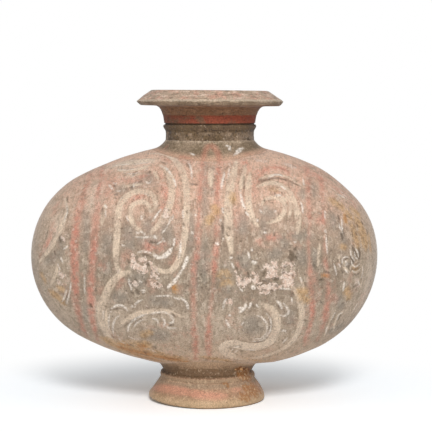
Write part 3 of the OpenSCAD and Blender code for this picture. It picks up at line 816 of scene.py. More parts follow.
dark_spots_px = [
    (4.4, [(290, 251), (292.6, 256), (291, 261.6)]), (3.6, [(287.6, 257.6), (296.6, 257)]),
    (2, [(294, 250), (297, 246)]), (2.8, [(264.6, 271), (263.6, 276)]),
    (3, [(248, 272.6), (249.4, 277.6)]), (2.2, [(263, 280.8), (270, 281.6)]),
    (3.4, [(273, 280), (278.6, 278)]), (2.8, [(275.4, 285), (278, 286.6)]),
    (2.2, [(259, 279), (259.4, 281)]), (2.2, [(242, 279), (243, 281)]), (2.2, [(284, 272), (282.6, 274)]),
    (2.2, [(292, 274), (293, 276.4)]), (1.7, [(286.6, 264), (282, 270)]), (2.4, [(258, 265), (259, 269)]),
    (2.4, [(251.4, 259), (252, 261)]), (2, [(264, 290), (266, 290.6)]), (2, [(272, 289), (272.4, 291)]),
    (2.4, [(236, 267), (237.6, 270)]), (2.4, [(147, 262.4), (149, 266)]),
    (2.2, [(137.6, 255), (137, 261)]), (2.2, [(151.4, 271), (151.8, 275)]),
    (2.2, [(128, 260), (129.6, 263)]), (4.4, [(136, 290), (138, 294)]),
    (2.6, [(141, 254.4), (146, 255), (152, 257.6)]), (3, [(150, 241.6), (158, 243)]),
    (2.2, [(145, 279), (146.4, 284)]), (1.8, [(134.6, 279), (137, 280)]),
    (2.2, [(157.4, 282), (158.4, 285)]), (2, [(131, 292), (133, 294)]), (2.4, [(133, 173), (134.4, 175)]),
    (2.6, [(149.6, 170.4), (150.6, 173)]), (3, [(131.6, 186), (132.6, 189)]),
    (2.2, [(139, 182.4), (142, 180.6)]), (2.4, [(113.4, 185), (115.6, 186.6)]),
    (2.6, [(114.4, 194.6), (118.6, 193.6)]), (2.2, [(114, 197), (117, 199)]),
    (1.8, [(112, 191), (114, 191.6)]), (2.6, [(102.8, 207), (102.4, 214)]),
    (2, [(144.2, 215), (144.6, 218)]), (2, [(187, 210), (187.4, 213)]), (2.2, [(183.4, 223), (184, 226)]),
    (2, [(168.6, 209), (170, 211)]), (2.6, [(192, 184), (197, 184.6)]), (2, [(157, 191), (158, 192.6)]),
    (2.6, [(186, 163), (189, 167)]), (2.6, [(161.6, 161.6), (166, 164)]),
    (2.2, [(166, 170), (167, 171.6)]), (2.2, [(225.4, 170), (228.4, 166)]),
    (1.8, [(244, 176), (243.8, 192)]), (2.2, [(258.6, 182), (261, 179)]),
    (2.8, [(258, 184), (266, 180), (276, 178), (288, 180.4), (302, 187)]),
    (2.6, [(264.4, 200), (264.6, 201.4)]), (2, [(269, 221.6), (271, 221)]),
    (2.2, [(227, 226), (231, 230)]), (2, [(226, 233), (228, 236)]), (1.8, [(274.4, 192), (275, 195)]),
    (2, [(278, 157), (279, 158.6)]), (2, [(222.6, 224), (222.6, 234)]), (2.2, [(252, 221), (253, 223)]),
    (1.8, [(273.6, 232), (274.6, 236)]), (1.8, [(113, 310.4), (120, 308.8), (125.4, 311)]),
    (1.8, [(122, 328), (130, 322.8), (138, 318), (146, 315.4)]), (2.4, [(172, 313.6), (175, 316.6)]),
    (1.6, [(131.6, 329), (135, 324), (141, 319.6)]), (2.2, [(169, 325.6), (174, 325)]),
    (2, [(154, 346), (156, 348.6)]), (1.6, [(228, 349), (232, 346.4), (240, 345.2)]),
    (1.7, [(252, 341.6), (262, 340.4), (268, 336)]), (1.5, [(269, 317), (269.2, 326), (266.4, 333)]),
    (1.8, [(129.6, 344), (133, 346)]), (2.2, [(140, 353.6), (148, 356)]),
    (2.6, [(143.6, 350.6), (146, 353.6)]), (1.8, [(166, 358), (174, 358.6)]),
    (2.4, [(239, 346.8), (241, 346.8)]), (1.8, [(282, 338), (284, 341)]),
    (2.2, [(283.6, 308), (284.6, 311)]), (2, [(278, 304.6), (279.6, 307)]), (2, [(293, 292), (291, 297)]),
    (2, [(252.6, 304), (254.4, 307)]), (2.4, [(247, 312), (251, 311)]), (3, [(59.6, 236), (60.6, 242)]),
    (2.6, [(54, 251), (56, 255)]), (2, [(67, 196), (67.6, 202)]), (2.2, [(68, 206), (67.4, 218)]),
    (3.6, [(90, 304), (91.4, 307)]), (2, [(70, 234), (70.4, 240)]), (1.8, [(48, 230), (46, 238)]),
    (1.6, [(68.4, 292), (66, 300)]), (3, [(341.4, 232), (343, 241)]), (2.2, [(338.6, 214), (339.4, 220)]),
    (4.4, [(352, 246), (354, 251), (356.6, 257)]), (4, [(358, 247), (359.6, 253), (359, 260)]),
    (3.4, [(354, 262), (350, 256)]), (2.4, [(331, 249), (331.6, 251)]),
    (2.4, [(325, 271.6), (329.6, 272.6)]), (2.2, [(319, 280), (324, 279.6)]),
    (2, [(355, 231), (357, 234)]), (2.2, [(363, 236), (364, 242)]), (1.8, [(356, 250.6), (361, 251.4)]),
    (2, [(357, 222), (358, 228)]), (1.8, [(352, 228), (353, 236)]), (1.8, [(366, 226), (368, 234)]),
    (1.8, [(361, 218), (363, 223)]), (2, [(346, 214), (350, 216)]), (2, [(340.6, 260), (343, 266)]),
    (2, [(337.6, 259), (338.6, 262)]), (2, [(348, 268), (350, 271)]), (2, [(341, 270), (343, 273)]),
    (1.8, [(338, 320), (341, 314)]), (2.4, [(353, 287), (358, 285)]), (2, [(310, 217), (310.4, 219)]),
    (2.4, [(313.6, 262), (314, 267)]), (2.4, [(296, 257), (297, 259)]), (2, [(304, 319), (307, 320)]),
    (1.8, [(320, 300), (322, 303)]), (1.7, [(362, 272), (361, 282)]),
    (1.6, [(344, 264), (344.4, 260.6), (347.4, 258.8), (350.4, 261), (350.2, 265), (347.4, 267)]),
    (1.6, [(351, 257), (352.6, 262), (355.6, 264.4), (359, 262.4)]),
    (1.6, [(351, 268.6), (355, 270), (359, 268)]), (1.6, [(338.6, 218), (339, 225)]),
    (2, [(341, 226), (344.6, 235)]), (1.5, [(352, 274), (356, 275), (360, 272.6)]),
]


def out_from(tree, spot, middle_x):
    """How far a place, given by its measures, is from a turned piece's upright axis."""
    plan = combined(tree, calc(tree, "SUBTRACT", spot[0], middle_x), spot[1], 0.0)
    return vector_calc(tree, "LENGTH", plan)


def painted_clay():
    """Grey earthenware with a thin beige wash, worn cold paint over it, and soil from burial.
    Painted light makes it lighter at the top, low down, on the underside and at the ends, and painted
    shade darkens a band at mid height and the underside round the foot.
    """
    material, where, tone, relief = clay_ground("painted_clay", "#938170", "#a2917f", "#b8a795")
    tree = material.node_tree
    spot = separated(tree, where)
    height = spot[2]
    from_seam = calc(tree, "SUBTRACT", spot[0], seam_x)
    turn = calc(tree, "ARCTAN2", spot[1], calc(tree, "SUBTRACT", height, axis_z))
    ring = vector_calc(tree, "SUBTRACT", where, (0, 0, axis_z))
    ring = vector_calc(tree, "LENGTH", vector_calc(tree, "MULTIPLY", ring, (0, 1, 1)))
    along = times(tree, calc(tree, "ARCTAN2", from_seam, ring), body_radius)
    around = combined(tree, along, times(tree, turn, 14 * mm), 0.0)
    streaks = grain(tree, around, 2.2 * mm, 4, 0.6)
    wear = grain(tree, where, 9 * mm, 6, 0.7)
    fray = grain(tree, where, 2.4 * mm, 4, 0.6)
    ragged = calc(tree, "ADD", wander(tree, fray, 5.0), wander(tree, wear, 3.0))
    kept = between(tree, wear, 0.66, 0.42)

    wash = between(tree, height, 120 * mm, 205 * mm)
    blotch = between(tree, grain(tree, where, 18 * mm, 5, 0.66), 0.62, 0.42)
    wash = times(tree, wash, amount(tree, 0.6, blotch, 0.34))
    tone = coat(tree, tone, "#dcb49d", wash)
    # Painted light: the top of the body is made lighter, where light from above falls.
    crown = between(tree, height, 205 * mm, 232 * mm)
    tone = coat(tree, tone, "#f8d4bb", crown, 0.8)
    # Painted light: lighter low on the body, as light thrown up from the floor.
    low = between(tree, height, 112 * mm, 78 * mm)
    tone = coat(tree, tone, "#d0bba5", low, 0.4)
    # Painted shade: a darker band at mid height.
    painted_mid_shade = times(tree, between(tree, height, 90 * mm, 115 * mm),
                 between(tree, height, 175 * mm, 150 * mm))
    tone = coat(tree, tone, "#857663", painted_mid_shade, 0.24)
    # Painted light: the round ends are made lighter, as if lit from the sides.
    painted_end_light = between(tree, calc(tree, "ABSOLUTE", from_seam), 100 * mm, 145 * mm)
    tone = coat(tree, tone, "#dcc5ad", painted_end_light, 0.4)
    # A pale wash, partly painted light: lighter along the ends' edges and on the upper left.
    pale = brushwork(tree, "pale_wash_and_light", ragged, soft=5.0, fray=1.0)
    tone = coat(tree, tone, "#e0cdb9", pale, 0.45)
    # Painted light: lighter again on the underside, as light thrown up from the floor.
    under = between(tree, height, 75 * mm, 40 * mm)
    tone = coat(tree, tone, "#e3c3a5", under, 0.55)
    # Painted shade: darker on the body's underside close round the foot.
    painted_foot_shade = times(tree, between(tree, out_from(tree, spot, foot_x), 62 * mm, 46 * mm),
                       between(tree, height, 60 * mm, 45 * mm))
    tone = coat(tree, tone, "#a88a6c", painted_foot_shade, 0.16)
    olive = between(tree, grain(tree, where, 15 * mm, 5, 0.65), 0.53, 0.66)
    tone = coat(tree, tone, "#948874", olive, 0.32)
    blush = between(tree, grain(tree, where, 12 * mm, 5, 0.65), 0.54, 0.66)
    tone = coat(tree, tone, "#cf9f8a", blush, 0.3)
    tone = coat(tree, tone, "#857461", between(tree, streaks, 0.52, 0.68), 0.4)
    tone = coat(tree, tone, "#d8c3ae", between(tree, streaks, 0.46, 0.32), 0.26)
    bare = brushwork(tree, "bare_grey", ragged, soft=4.0, fray=1.0)
    tone = coat(tree, tone, "#8b8378", bare, 0.54)
    faint = brushwork(tree, "worn_red", ragged, soft=3.4, fray=1.0)
    tone = coat(tree, tone, "#cb8f7c", faint, kept, 0.4)
    bands = brushwork(tree, "red_bands", ragged, soft=2.6, fray=0.5)
    tone = coat(tree, tone, "#c68a77", bands, amount(tree, 0.2, kept, 0.38))
    red = brushwork(tree, "strong_red", ragged, soft=2.6, fray=0.7)
    tone = coat(tree, tone, "#c97c69", red, amount(tree, 0.14, kept, 0.3))

    drawn = combined(tree, along, times(tree, turn, 50 * mm), 0.0)
    flake = flakes(tree, where, 1.5 * mm)
    scale = flakes(tree, where, 2.2 * mm)
    marks = flakes(tree, drawn, 2.0 * mm)
    tone = coat(tree, tone, "#7c6a56", between(tree, marks, 0.76, 0.86), 0.28)
    tone = coat(tree, tone, "#e7d5c1", between(tree, marks, 0.2, 0.12), 0.2)

    cream = brushwork(tree, "cream", ragged, soft=0.9, fray=0.22)
    outline = brushwork(tree, "cream_edge", ragged, soft=1.2, fray=0.3)
    outline = left_on(tree, times(tree, outline, amount(tree, 0.45, cream, -0.5)), scale)
    tone = coat(tree, tone, "#7a6954", outline, 0.36)
    whole = left_on(tree, amount(tree, 0.66, kept, 0.34), flake)
    cream = times(tree, cream, amount(tree, 0.5, whole, 0.5))
    cream_tone = mixed(tree, between(tree, wear, 0.4, 0.6), colour("#e0cbb3"), colour("#d2bca6"))
    # Painted light: the cream is lighter at the top and towards the bottom.
    cream_tone = coat(tree, cream_tone, "#f6e8d4", crown, 0.8)
    cream_tone = coat(tree, cream_tone, "#eedac4", between(tree, height, 90 * mm, 60 * mm), 0.7)
    cover = amount(tree, 0.5, kept, 0.16)
    cover = calc(tree, "ADD", cover, times(tree, between(tree, streaks, 0.6, 0.4), 0.2))
    tone = mixed(tree, times(tree, cream, cover), tone, cream_tone)
    slip = left_on(tree, brushwork(tree, "flaked_slip", ragged, soft=2.2, fray=0.8), scale)
    slip_tone = mixed(tree, between(tree, flake, 0.3, 0.7), colour("#e6d2c3"), colour("#d6b9a7"))
    tone = mixed(tree, times(tree, slip, 0.8), tone, slip_tone)
    soil = brushwork(tree, "soil", ragged, soft=3.0, fray=1.3)
    tone = coat(tree, tone, "#c8a276", soil, amount(tree, 0.48, kept, 0.3))
    crumbs = times(tree, soil, between(tree, marks, 0.68, 0.76))
    tone = coat(tree, tone, "#6b4a2c", crumbs, 0.32)
    iron = brushwork(tree, "iron_crust", ragged, soft=2.4, fray=1.6)
    tone = coat(tree, tone, "#bd8148", iron, 0.66)
    tone = coat(tree, tone, "#6e4522", iron, between(tree, fray, 0.54, 0.64), 0.6)
    dark = brushwork(tree, "dark_spots", ragged, soft=1.0, fray=0.5)
    tone = coat(tree, tone, "#564839", dark, 0.66)
    white = brushwork(tree, "white", ragged, soft=0.8, fray=0.36)
    white = times(tree, white, amount(tree, 0.36, left_on(tree, 0.72, flake), 0.64))
    tone = coat(tree, tone, "#f2e6d9", white, 0.86)
    pits = between(tree, grain(tree, where, 1.6 * mm, 2, 0.5), 0.64, 0.7)
    tone = coat(tree, tone, "#67553f", pits, 0.5)
    layers = ((cream, 0.5), (white, 0.9), (slip, 0.8), (soil, 0.8), (pits, -0.6), (streaks, 0.5))
    for mask, thickness in layers:
        relief = calc(tree, "ADD", relief, times(tree, mask, thickness))
    return fire(material, tone, relief, grit=0.27)


outline_px = 2.6
white_thinning = 0.9
cream_edge_px = [(width + outline_px, stroke) for width, stroke in cream_px]
thin_white_px = [(width * white_thinning, stroke) for width, stroke in white_px]
# The round ends are out of the picture, so the worn scroll on each is a guess after those on the face.
# Its places are in mm across and up from the pole.
spiral_across = 12
spiral_up = 2
spiral_growth = 0.85
spiral_turn = 0.45
end_spiral = [(spiral_across + spiral_growth * i * math.cos(spiral_turn * i),
               spiral_up + spiral_growth * i * math.sin(spiral_turn * i)) for i in range(3, 25)]
end_cream = [
    (5.6, end_spiral), (5.6, [(18, -19), (28, -17), (37, -9), (41, 3), (39, 14)]),
    (5.6, [(-15, -8), (-13, 9), (-3, 23), (12, 30), (28, 30)]), (4, [(24, 24), (33, 20), (38, 14)]),
]
end_red = [
    (5, [(-9, -6), (-7, 8), (1, 18)]), (5, [(14, -31), (28, -29), (42, -18)]),
    (5, [(-6, 38), (12, 41), (30, 38)]),
]
end_white = [
    (1.8, [(-18, -10), (-16, 8), (-7, 23)]), (1.8, [(20, -14), (30, -11), (36, -3)]),
]
body_paints = {
    "red_bands": laid_on(red_bands_px, outside_body, straight_behind),
    "strong_red": laid_on(strong_red_px, outside_body, turned_behind) + laid_on_ends(end_red),
    "worn_red": laid_on(worn_red_px, outside_body, turned_behind),
    "cream": laid_on(cream_px, outside_body, turned_behind) + laid_on_ends(end_cream),
    "cream_edge": laid_on(cream_edge_px, outside_body, turned_behind),
    "white": laid_on(thin_white_px, outside_body, turned_behind) + laid_on_ends(end_white),
    "flaked_slip": laid_on(flaked_slip_px, outside_body, turned_behind),
    "bare_grey": laid_on(bare_grey_px, outside_body, turned_behind),
    "pale_wash_and_light": laid_on(pale_wash_and_light_px, outside_body, turned_behind),
    "soil": laid_on(soil_px, outside_body, turned_behind),
    "iron_crust": laid_on(iron_crust_px, outside_body, turned_behind),
    "dark_spots": laid_on(dark_spots_px, outside_body, turned_behind),
}
body_clay = painted_clay()
body_left = bowl("body_left_bowl", -1, left_depth, left_end_radius, body_clay)
body_right = bowl("body_right_bowl", 1, right_depth, right_end_radius, body_clay)
for half, node in ((body_left, "body_left"), (body_right, "body_right")):
    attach(half, "root")
    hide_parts(node)


# The luting clay of the seam
# A ring of soft clay between the two rims, scraped flush outside and painted over with the body.
# Inside, where no tool reached, a low ridge of it was squeezed out and left.
seam_squeeze = 2 * mm
inside = body_radius - body_wall
half_seam = seam_width / 2
seam_section = [(body_radius, -half_seam), (body_radius, 0), (body_radius, half_seam), (inside, half_seam),
                (inside - seam_squeeze, 0), (inside, -half_seam), (body_radius, -half_seam)]
seam = part_of_body("seam_ring", seam_section, body_clay, segments=720)
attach(seam, "root")
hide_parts("seam_lute")


# The collar of luting clay
# A roll of soft clay bedded the neck on the body. It was pressed into the angle and smoothed down with a
# wet finger, so it runs out thin over the shoulder. The red bands were painted up over it.
lute = 1.5 * mm
neck_radius = 39.5 * mm
collar_top = 233.4 * mm
collar_reach = 12.5 * mm
collar_steps = 14
collar_hollow = 2.6
ring_gap = 0.06 * mm
under_side = 0
upper_side = 1
side_middle = 0.5


def body_height(points, side):
    """Height of the body's surface above (side 1) or below (side -1) its axis, at places seen in plan."""
    reach = np.maximum(radius_along(points[:, 0]) ** 2 - points[:, 1] ** 2, 0)
    return axis_z + side * np.sqrt(reach)


def upright(piece, middle_x):
    """Sets a piece that was turned upright over its place along the jar's length."""
    piece.data.transform(Matrix.Translation((middle_x, 0, 0)))
    close_up(piece)


def outside_turned(outline, middle_x):
    """A test of how far points are outside an upright turned form with an outline of (radius, height)."""
    radii, heights = zip(*sorted(outline, key=lambda place: place[1]))

    def outside(points):
        out = np.hypot(points[..., 0] - middle_x, points[..., 1])
        return out - np.interp(points[..., 2], heights, radii)

    return outside


def collar_clay():
    """Olive-grey clay with dark soil, red bands, splashes of slip, and the body's wash at its edge."""
    material, where, tone, relief = clay_ground("collar_clay", "#74644f", "#93806b", "#b7a28a")
    tree = material.node_tree
    wear = grain(tree, where, 7 * mm, 6, 0.7)
    fray = grain(tree, where, 2 * mm, 4, 0.65)
    ragged = calc(tree, "ADD", wander(tree, fray, 5.0), wander(tree, wear, 4.0))
    out = out_from(tree, separated(tree, where), neck_x)
    out = calc(tree, "ADD", out, times(tree, ragged, 0.8 * mm))
    edge = between(tree, out, 44 * mm, 50 * mm)
    tone = coat(tree, tone, "#d0aa91", edge, 0.85)
    red = brushwork(tree, "collar_red", ragged, soft=2.6, fray=0.7)
    tone = coat(tree, tone, "#c07a66", red, 0.5)
    splash = brushwork(tree, "collar_slip", ragged, soft=0.8, fray=0.5)
    tone = coat(tree, tone, "#efe6dc", splash, 0.85)
    ridge = between(tree, out, 40.8 * mm, 40.0 * mm)
    tone = coat(tree, tone, "#c2b09a", ridge, between(tree, fray, 0.4, 0.55), 0.6)
    return fire(material, tone, relief)


collar_red_px = [
    (4.6, [(203, 162), (204.6, 153), (208, 146.6), (213, 146)]),
    (5.4, [(210, 145), (215, 148), (218.4, 154), (219.4, 162)]), (3, [(165, 150), (168, 147)]),
    (3, [(180, 157), (190, 158)]), (3, [(244, 156), (252, 154)]),
]
collar_slip_px = [
    (2.6, [(226, 145.6), (230.6, 147)]), (2.4, [(228.6, 148.6), (231, 150)]),
    (2, [(237.6, 149.6), (243.6, 148.4)]), (2.2, [(233.4, 155.6), (238, 153), (242, 150.6)]),
    (1.4, [(189, 153), (195, 155)]), (1.8, [(236, 152), (240, 150)]),
]


def settle_collar(piece):
    """Beds the collar on the body: its under side follows it, and its upper side sweeps up to the neck."""
    points = places(piece)
    upper = points[:, 2] > side_middle
    plan = points[:, :2] - (neck_x, 0)
    out = np.hypot(plan[:, 0], plan[:, 1])
    at_neck = points.copy()
    at_neck[:, :2] = plan / out[:, None] * neck_radius + (neck_x, 0)
    share = np.clip((out - neck_radius) / collar_reach, 0, 1)
    sweep = (collar_top - body_height(at_neck, 1)) * (1 - share) ** collar_hollow
    lift = np.where(out < neck_radius - ring_gap / 2, lute, sweep)
    points[:, 2] = body_height(points, 1) + np.where(upper, lift, 0)
    move_to(piece, points)


collar_rings = [neck_radius + collar_reach * i / collar_steps for i in range(collar_steps + 1)]
bed_rings = list(np.linspace(neck_bore, neck_radius - ring_gap, 4))
collar_section = [(radius, under_side) for radius in bed_rings + collar_rings]
collar_section += [(radius, upper_side) for radius in collar_rings[-2::-1] + bed_rings[::-1]]
collar_section += collar_section[:1]
collar = turned("collar", collar_section, collar_clay(), segments=300, front_share=0.3)
collar.data.transform(Matrix.Translation((neck_x, 0, 0)))
settle_collar(collar)
close_up(collar, crease=60)
collar_form = outside_turned([(52 * mm, 217 * mm), (46 * mm, 222 * mm), (42 * mm, 229 * mm),
                              (neck_radius, collar_top)], neck_x)
paint(collar, {"collar_red": laid_on(collar_red_px, collar_form, straight_behind),
               "collar_slip": laid_on(collar_slip_px, collar_form, turned_behind)})
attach(collar, "root")
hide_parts("neck_lute")


# The neck
# A short ring thrown on its own, with its foot cut to the curve of the body and a bead round its top.
# Its paint is gone, and soil fills the pits between the throwing marks. Its clay is painted dark,
# partly as shade under the rim.
neck_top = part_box("neck")[1][2]


def height_band(tree, height, low, high, soft):
    """1 between two heights, fading out over a given distance past each."""
    risen = between(tree, height, low - soft, low + soft)
    return times(tree, risen, between(tree, height, high + soft, high - soft))


def neck_clay():
    """Grey-brown clay painted dark, partly as shade under the rim, pitted, with pale lime on the ridges."""
    # The dark ground colours are partly painted shade under the rim.
    material, where, tone, relief = clay_ground("neck_clay", "#4f4033", "#69563f", "#8c755f")
    tree = material.node_tree
    height = separated(tree, where)[2]
    wear = grain(tree, where, 8 * mm, 6, 0.7)
    pale = height_band(tree, height, 232 * mm, 240.5 * mm, soft=1.0 * mm)
    tone = coat(tree, tone, "#a8937d", pale, between(tree, wear, 0.4, 0.6), 0.45)
    # Painted shade in the groove under the bead.
    groove = height_band(tree, height, 241.2 * mm, 242.6 * mm, soft=0.5 * mm)
    tone = coat(tree, tone, "#463a2c", groove, 0.2)
    bead = height_band(tree, height, 242.8 * mm, 246.4 * mm, soft=0.5 * mm)
    tone = coat(tree, tone, "#6f5a46", bead, 0.4)
    pits = between(tree, grain(tree, where, 2.6 * mm, 3, 0.6), 0.58, 0.68)
    tone = coat(tree, tone, "#3a2f25", pits, 0.6)
    flecks = between(tree, grain(tree, where, 2.0 * mm, 2, 0.5), 0.66, 0.72)
    tone = coat(tree, tone, "#c9b8a4", flecks, 0.4)
    relief = calc(tree, "SUBTRACT", relief, pits)
    return fire(material, tone, relief, depth=0.7 * mm)


bead_radius = neck_radius + 2 * mm
neck_foot = 231 * mm
neck_outline = [
    (neck_radius, neck_foot), (neck_radius, 234 * mm), (neck_radius - 0.2 * mm, 237 * mm),
    (neck_radius - 0.2 * mm, 239.6 * mm), (neck_radius, 241.2 * mm), (neck_radius + 0.5 * mm, 242.4 * mm),
    (bead_radius - 0.7 * mm, 243.6 * mm), (bead_radius - 0.1 * mm, 244.9 * mm), (bead_radius, 245.9 * mm),
    (bead_radius - 0.6 * mm, neck_top),
]
neck_warp = {"warp": 0.4 * mm, "warp_size": 20 * mm, "seed": 3.0}
neck_inside = [(neck_bore, neck_top), (neck_bore - 0.2 * mm, 240 * mm), (neck_bore, neck_foot)]
neck_section = neck_outline + neck_inside + neck_outline[:1]
neck = turned("neck_ring", neck_section, neck_clay(), segments=240, **neck_warp)
upright(neck, neck_x)
neck_points = places(neck)
neck_low = neck_points[:, 2] < neck_foot + touch
neck_points[neck_low, 2] = body_height(neck_points, 1)[neck_low] + lute
move_to(neck, neck_points)
close_up(neck)
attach(neck, "root")
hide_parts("neck")


# The luting clay under the mouth
# A thin bed of clay joins the mouth to the neck. It is set back a little, and its clay is painted near
# black as the shade in the groove, so it shows as a fine dark groove.
mouth_foot = neck_top + lute


def groove_clay():
    """Luting clay painted near black, as the shade in the groove."""
    # Painted shade: the clay colours are near black for the shade in the groove.
    material, where, tone, relief = clay_ground("groove_clay", "#35281d", "#4a3827", "#6a5540")
    return fire(material, tone, relief)


groove_radius = neck_radius + 0.5 * mm
groove_section = [(groove_radius, neck_top), (groove_radius - 0.4 * mm, (neck_top + mouth_foot) / 2),
                  (groove_radius, mouth_foot), (neck_bore, mouth_foot), (neck_bore, neck_top),
                  (groove_radius, neck_top)]
mouth_bed = turned("mouth_bed", groove_section, groove_clay(), segments=240, **neck_warp)
upright(mouth_bed, neck_x)
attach(mouth_bed, "root")
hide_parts("mouth_lute")


# The mouth
# A wide dish of a rim thrown on its own: a flared throat with a red band at its foot, then a flat under
# side, a thin edge and a bevelled top. The edge is chipped and stands a little lower on the right.
rim_radius = (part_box("mouth")[1][0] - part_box("mouth")[0][0]) / 2
rim_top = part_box("mouth")[1][2]


def mouth_clay():
    """Brown clay with a red band low on the throat and worn pink paint on the bevel. The throat is painted
    dark, partly as shade under the rim.
    """
    material, where, tone, relief = clay_ground("mouth_clay", "#7d6a55", "#99846e", "#b9a48d")
    tree = material.node_tree
    spot = separated(tree, where)
    wear = grain(tree, where, 8 * mm, 6, 0.7)
    fray = grain(tree, where, 2.4 * mm, 4, 0.65)
    waver = wander(tree, fray, 2.4 * mm)
    height = calc(tree, "ADD", spot[2], waver)
    # The throat is painted dark brown, partly as shade under the rim.
    throat = height_band(tree, height, 254 * mm, 264.2 * mm, soft=0.8 * mm)
    tone = coat(tree, tone, "#7f563a", throat, 0.72)
    turn = calc(tree, "ARCTAN2", spot[1], calc(tree, "SUBTRACT", spot[0], neck_x))
    along_rim = combined(tree, times(tree, turn, 14 * mm), 0.0, spot[2])
    wiped = grain(tree, along_rim, 2.0 * mm, 4, 0.6)
    tone = coat(tree, tone, "#553b27", throat, between(tree, wiped, 0.5, 0.66), 0.5)
    tone = coat(tree, tone, "#ab8260", throat, between(tree, wiped, 0.48, 0.34), 0.4)
    band = height_band(tree, height, 248 * mm, 255.4 * mm, soft=0.5 * mm)
    band = times(tree, band, between(tree, out_from(tree, spot, neck_x), 37 * mm, 39 * mm))
    tone = coat(tree, tone, "#6d4532", band, 0.78)
    bright = between(tree, calc(tree, "ADD", spot[0], times(tree, wear, 90 * mm)), 10 * mm, 50 * mm)
    bright = times(tree, band, amount(tree, 0.34, bright, 0.5))
    tone = coat(tree, tone, "#954a36", bright)
    lost = add_node(tree, "ShaderNodeAttribute", attribute_name="lost_red").outputs["Fac"]
    lost = between(tree, calc(tree, "ADD", lost, wander(tree, fray, 8.0)), 1.4, -1.4)
    tone = coat(tree, tone, "#6f5c48", band, lost, 0.75)
    tone = coat(tree, tone, "#5e3527", band, between(tree, wiped, 0.54, 0.66), 0.4)
    bevel = between(tree, height, 268.6 * mm, 269.6 * mm)
    tone = coat(tree, tone, "#cbb09a", bevel, 0.6)
    pink = times(tree, bevel, between(tree, wear, 0.46, 0.6))
    tone = coat(tree, tone, "#d39a85", pink, 0.5)
    swirl = grain(tree, along_rim, 2.8 * mm, 5, 0.7)
    tone = coat(tree, tone, "#83705e", bevel, between(tree, swirl, 0.52, 0.6), 0.62)
    tone = coat(tree, tone, "#e2c9b5", bevel, between(tree, swirl, 0.47, 0.4), 0.6)
    edge = height_band(tree, height, 267.6 * mm, 269.4 * mm, soft=0.6 * mm)
    tone = coat(tree, tone, "#cdb9a2", edge, 0.7)
    pits = between(tree, grain(tree, where, 1.8 * mm, 3, 0.6), 0.6, 0.7)
    tone = coat(tree, tone, "#4a3c2f", pits, 0.5)
    relief = calc(tree, "SUBTRACT", relief, times(tree, pits, 0.7))
    return fire(material, tone, relief, depth=0.7 * mm)


throat_outline = [
    (40.6 * mm, mouth_foot), (40.9 * mm, 250.5 * mm), (41.3 * mm, 253 * mm), (41.7 * mm, 255.2 * mm),
    (42.1 * mm, 256 * mm), (42.9 * mm, 258.6 * mm), (44.1 * mm, 261 * mm), (45.6 * mm, 262.8 * mm),
    (47.6 * mm, 263.9 * mm), (52 * mm, 264.2 * mm), (57 * mm, 264.2 * mm), (61.6 * mm, 264.4 * mm),
    (63.2 * mm, 265.4 * mm), (64.6 * mm, 267 * mm), (rim_radius, 268.5 * mm), (64.4 * mm, 269.6 * mm),
    (62 * mm, 271.2 * mm), (59 * mm, 273.3 * mm), (56 * mm, 275.3 * mm), (53.6 * mm, 276.9 * mm),
    (52.6 * mm, 277.6 * mm), (51 * mm, rim_top),
]
throat_inside = [
    (47.2 * mm, rim_top), (46.2 * mm, 277.4 * mm), (45.8 * mm, 275.5 * mm), (43.5 * mm, 269 * mm),
    (39.5 * mm, 262 * mm), (35 * mm, 255 * mm), (32.6 * mm, 250.5 * mm), (neck_bore, mouth_foot),
]
rim_chips = [
    # Place along the jar's length from the mouth's middle, half its width and its depth.
    (-4 * mm, 9 * mm, 2.4 * mm), (47 * mm, 8 * mm, 1.2 * mm),
]
worn_from_radius = 58 * mm
worn_reach = 6.5 * mm
worn_from_height = 266 * mm
fall_from_height = 256 * mm
fall_from_x = -70 * mm
fall_slope = 0.0098


def chip_rim(points):
    """Wears the mouth's edge: dips and chips round it, and a fall of about a millimetre to the right."""
    worn = points.copy()
    out = np.hypot(points[:, 0] - neck_x, points[:, 1])
    near_edge = np.clip((out - worn_from_radius) / worn_reach, 0, 1) ** 1.5
    upper = np.clip((points[:, 2] - worn_from_height) / (2 * mm), 0, 1)
    dips = np.minimum(rough(points * (1, 1, 0), 22 * mm), 0.1) * 2.0 * mm
    chips = np.minimum(rough(points * (1, 1, 0), 9 * mm) + 0.3, 0) * 3.0 * mm
    for place, reach, depth in rim_chips:
        gone = np.exp(-((points[:, 0] - neck_x - place) / reach) ** 2)
        chips -= np.where(points[:, 1] < 0, gone, 0) * depth
    worn[:, 2] += near_edge * upper * (dips + chips)
    inward = 1 + near_edge * (chips * 0.6 + dips * 0.3) / out
    worn[:, 0] = neck_x + (points[:, 0] - neck_x) * inward
    worn[:, 1] *= inward
    raised = np.clip((points[:, 2] - fall_from_height) / (10 * mm), 0, 1)
    worn[:, 2] -= raised * np.maximum(0, points[:, 0] - neck_x - fall_from_x) * fall_slope
    return worn


mouth_section = throat_outline + throat_inside + throat_outline[:1]
mouth = turned("mouth_dish", mouth_section, mouth_clay(), segments=480, **neck_warp)
upright(mouth, neck_x)
move_to(mouth, chip_rim(places(mouth)))
close_up(mouth, crease=50)
lost_red_px = [
    (6, [(196, 116), (200, 119), (203, 123)]), (3, [(172, 122), (178, 121)]),
    (2.4, [(184, 117), (190, 118)]), (3, [(168, 118), (171, 121)]), (2, [(228, 122), (236, 122.4)]),
]
mouth_form = outside_turned(throat_outline[:8], neck_x)
paint(mouth, {"lost_red": laid_on(lost_red_px, mouth_form, turned_behind)})
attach(mouth, "root")
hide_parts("mouth")


# The luting clay of the foot
# A thin bed of clay joins the foot to the body, on a top that is cut to the body's round. It was wiped out
# as a small fillet in the angle, where brown soil has caught. Low on the stem it is painted darker, as
# shade under the belly.
stem_radius = 41.3 * mm
stem_top = 30 * mm
stem_press = 0.045
foot_hollow = 33 * mm
fillet_reach = 5.6 * mm
fillet_drop = 5 * mm
fillet_steps = 10
fillet_hollow = 2.2
fillet_gap = 0.1 * mm


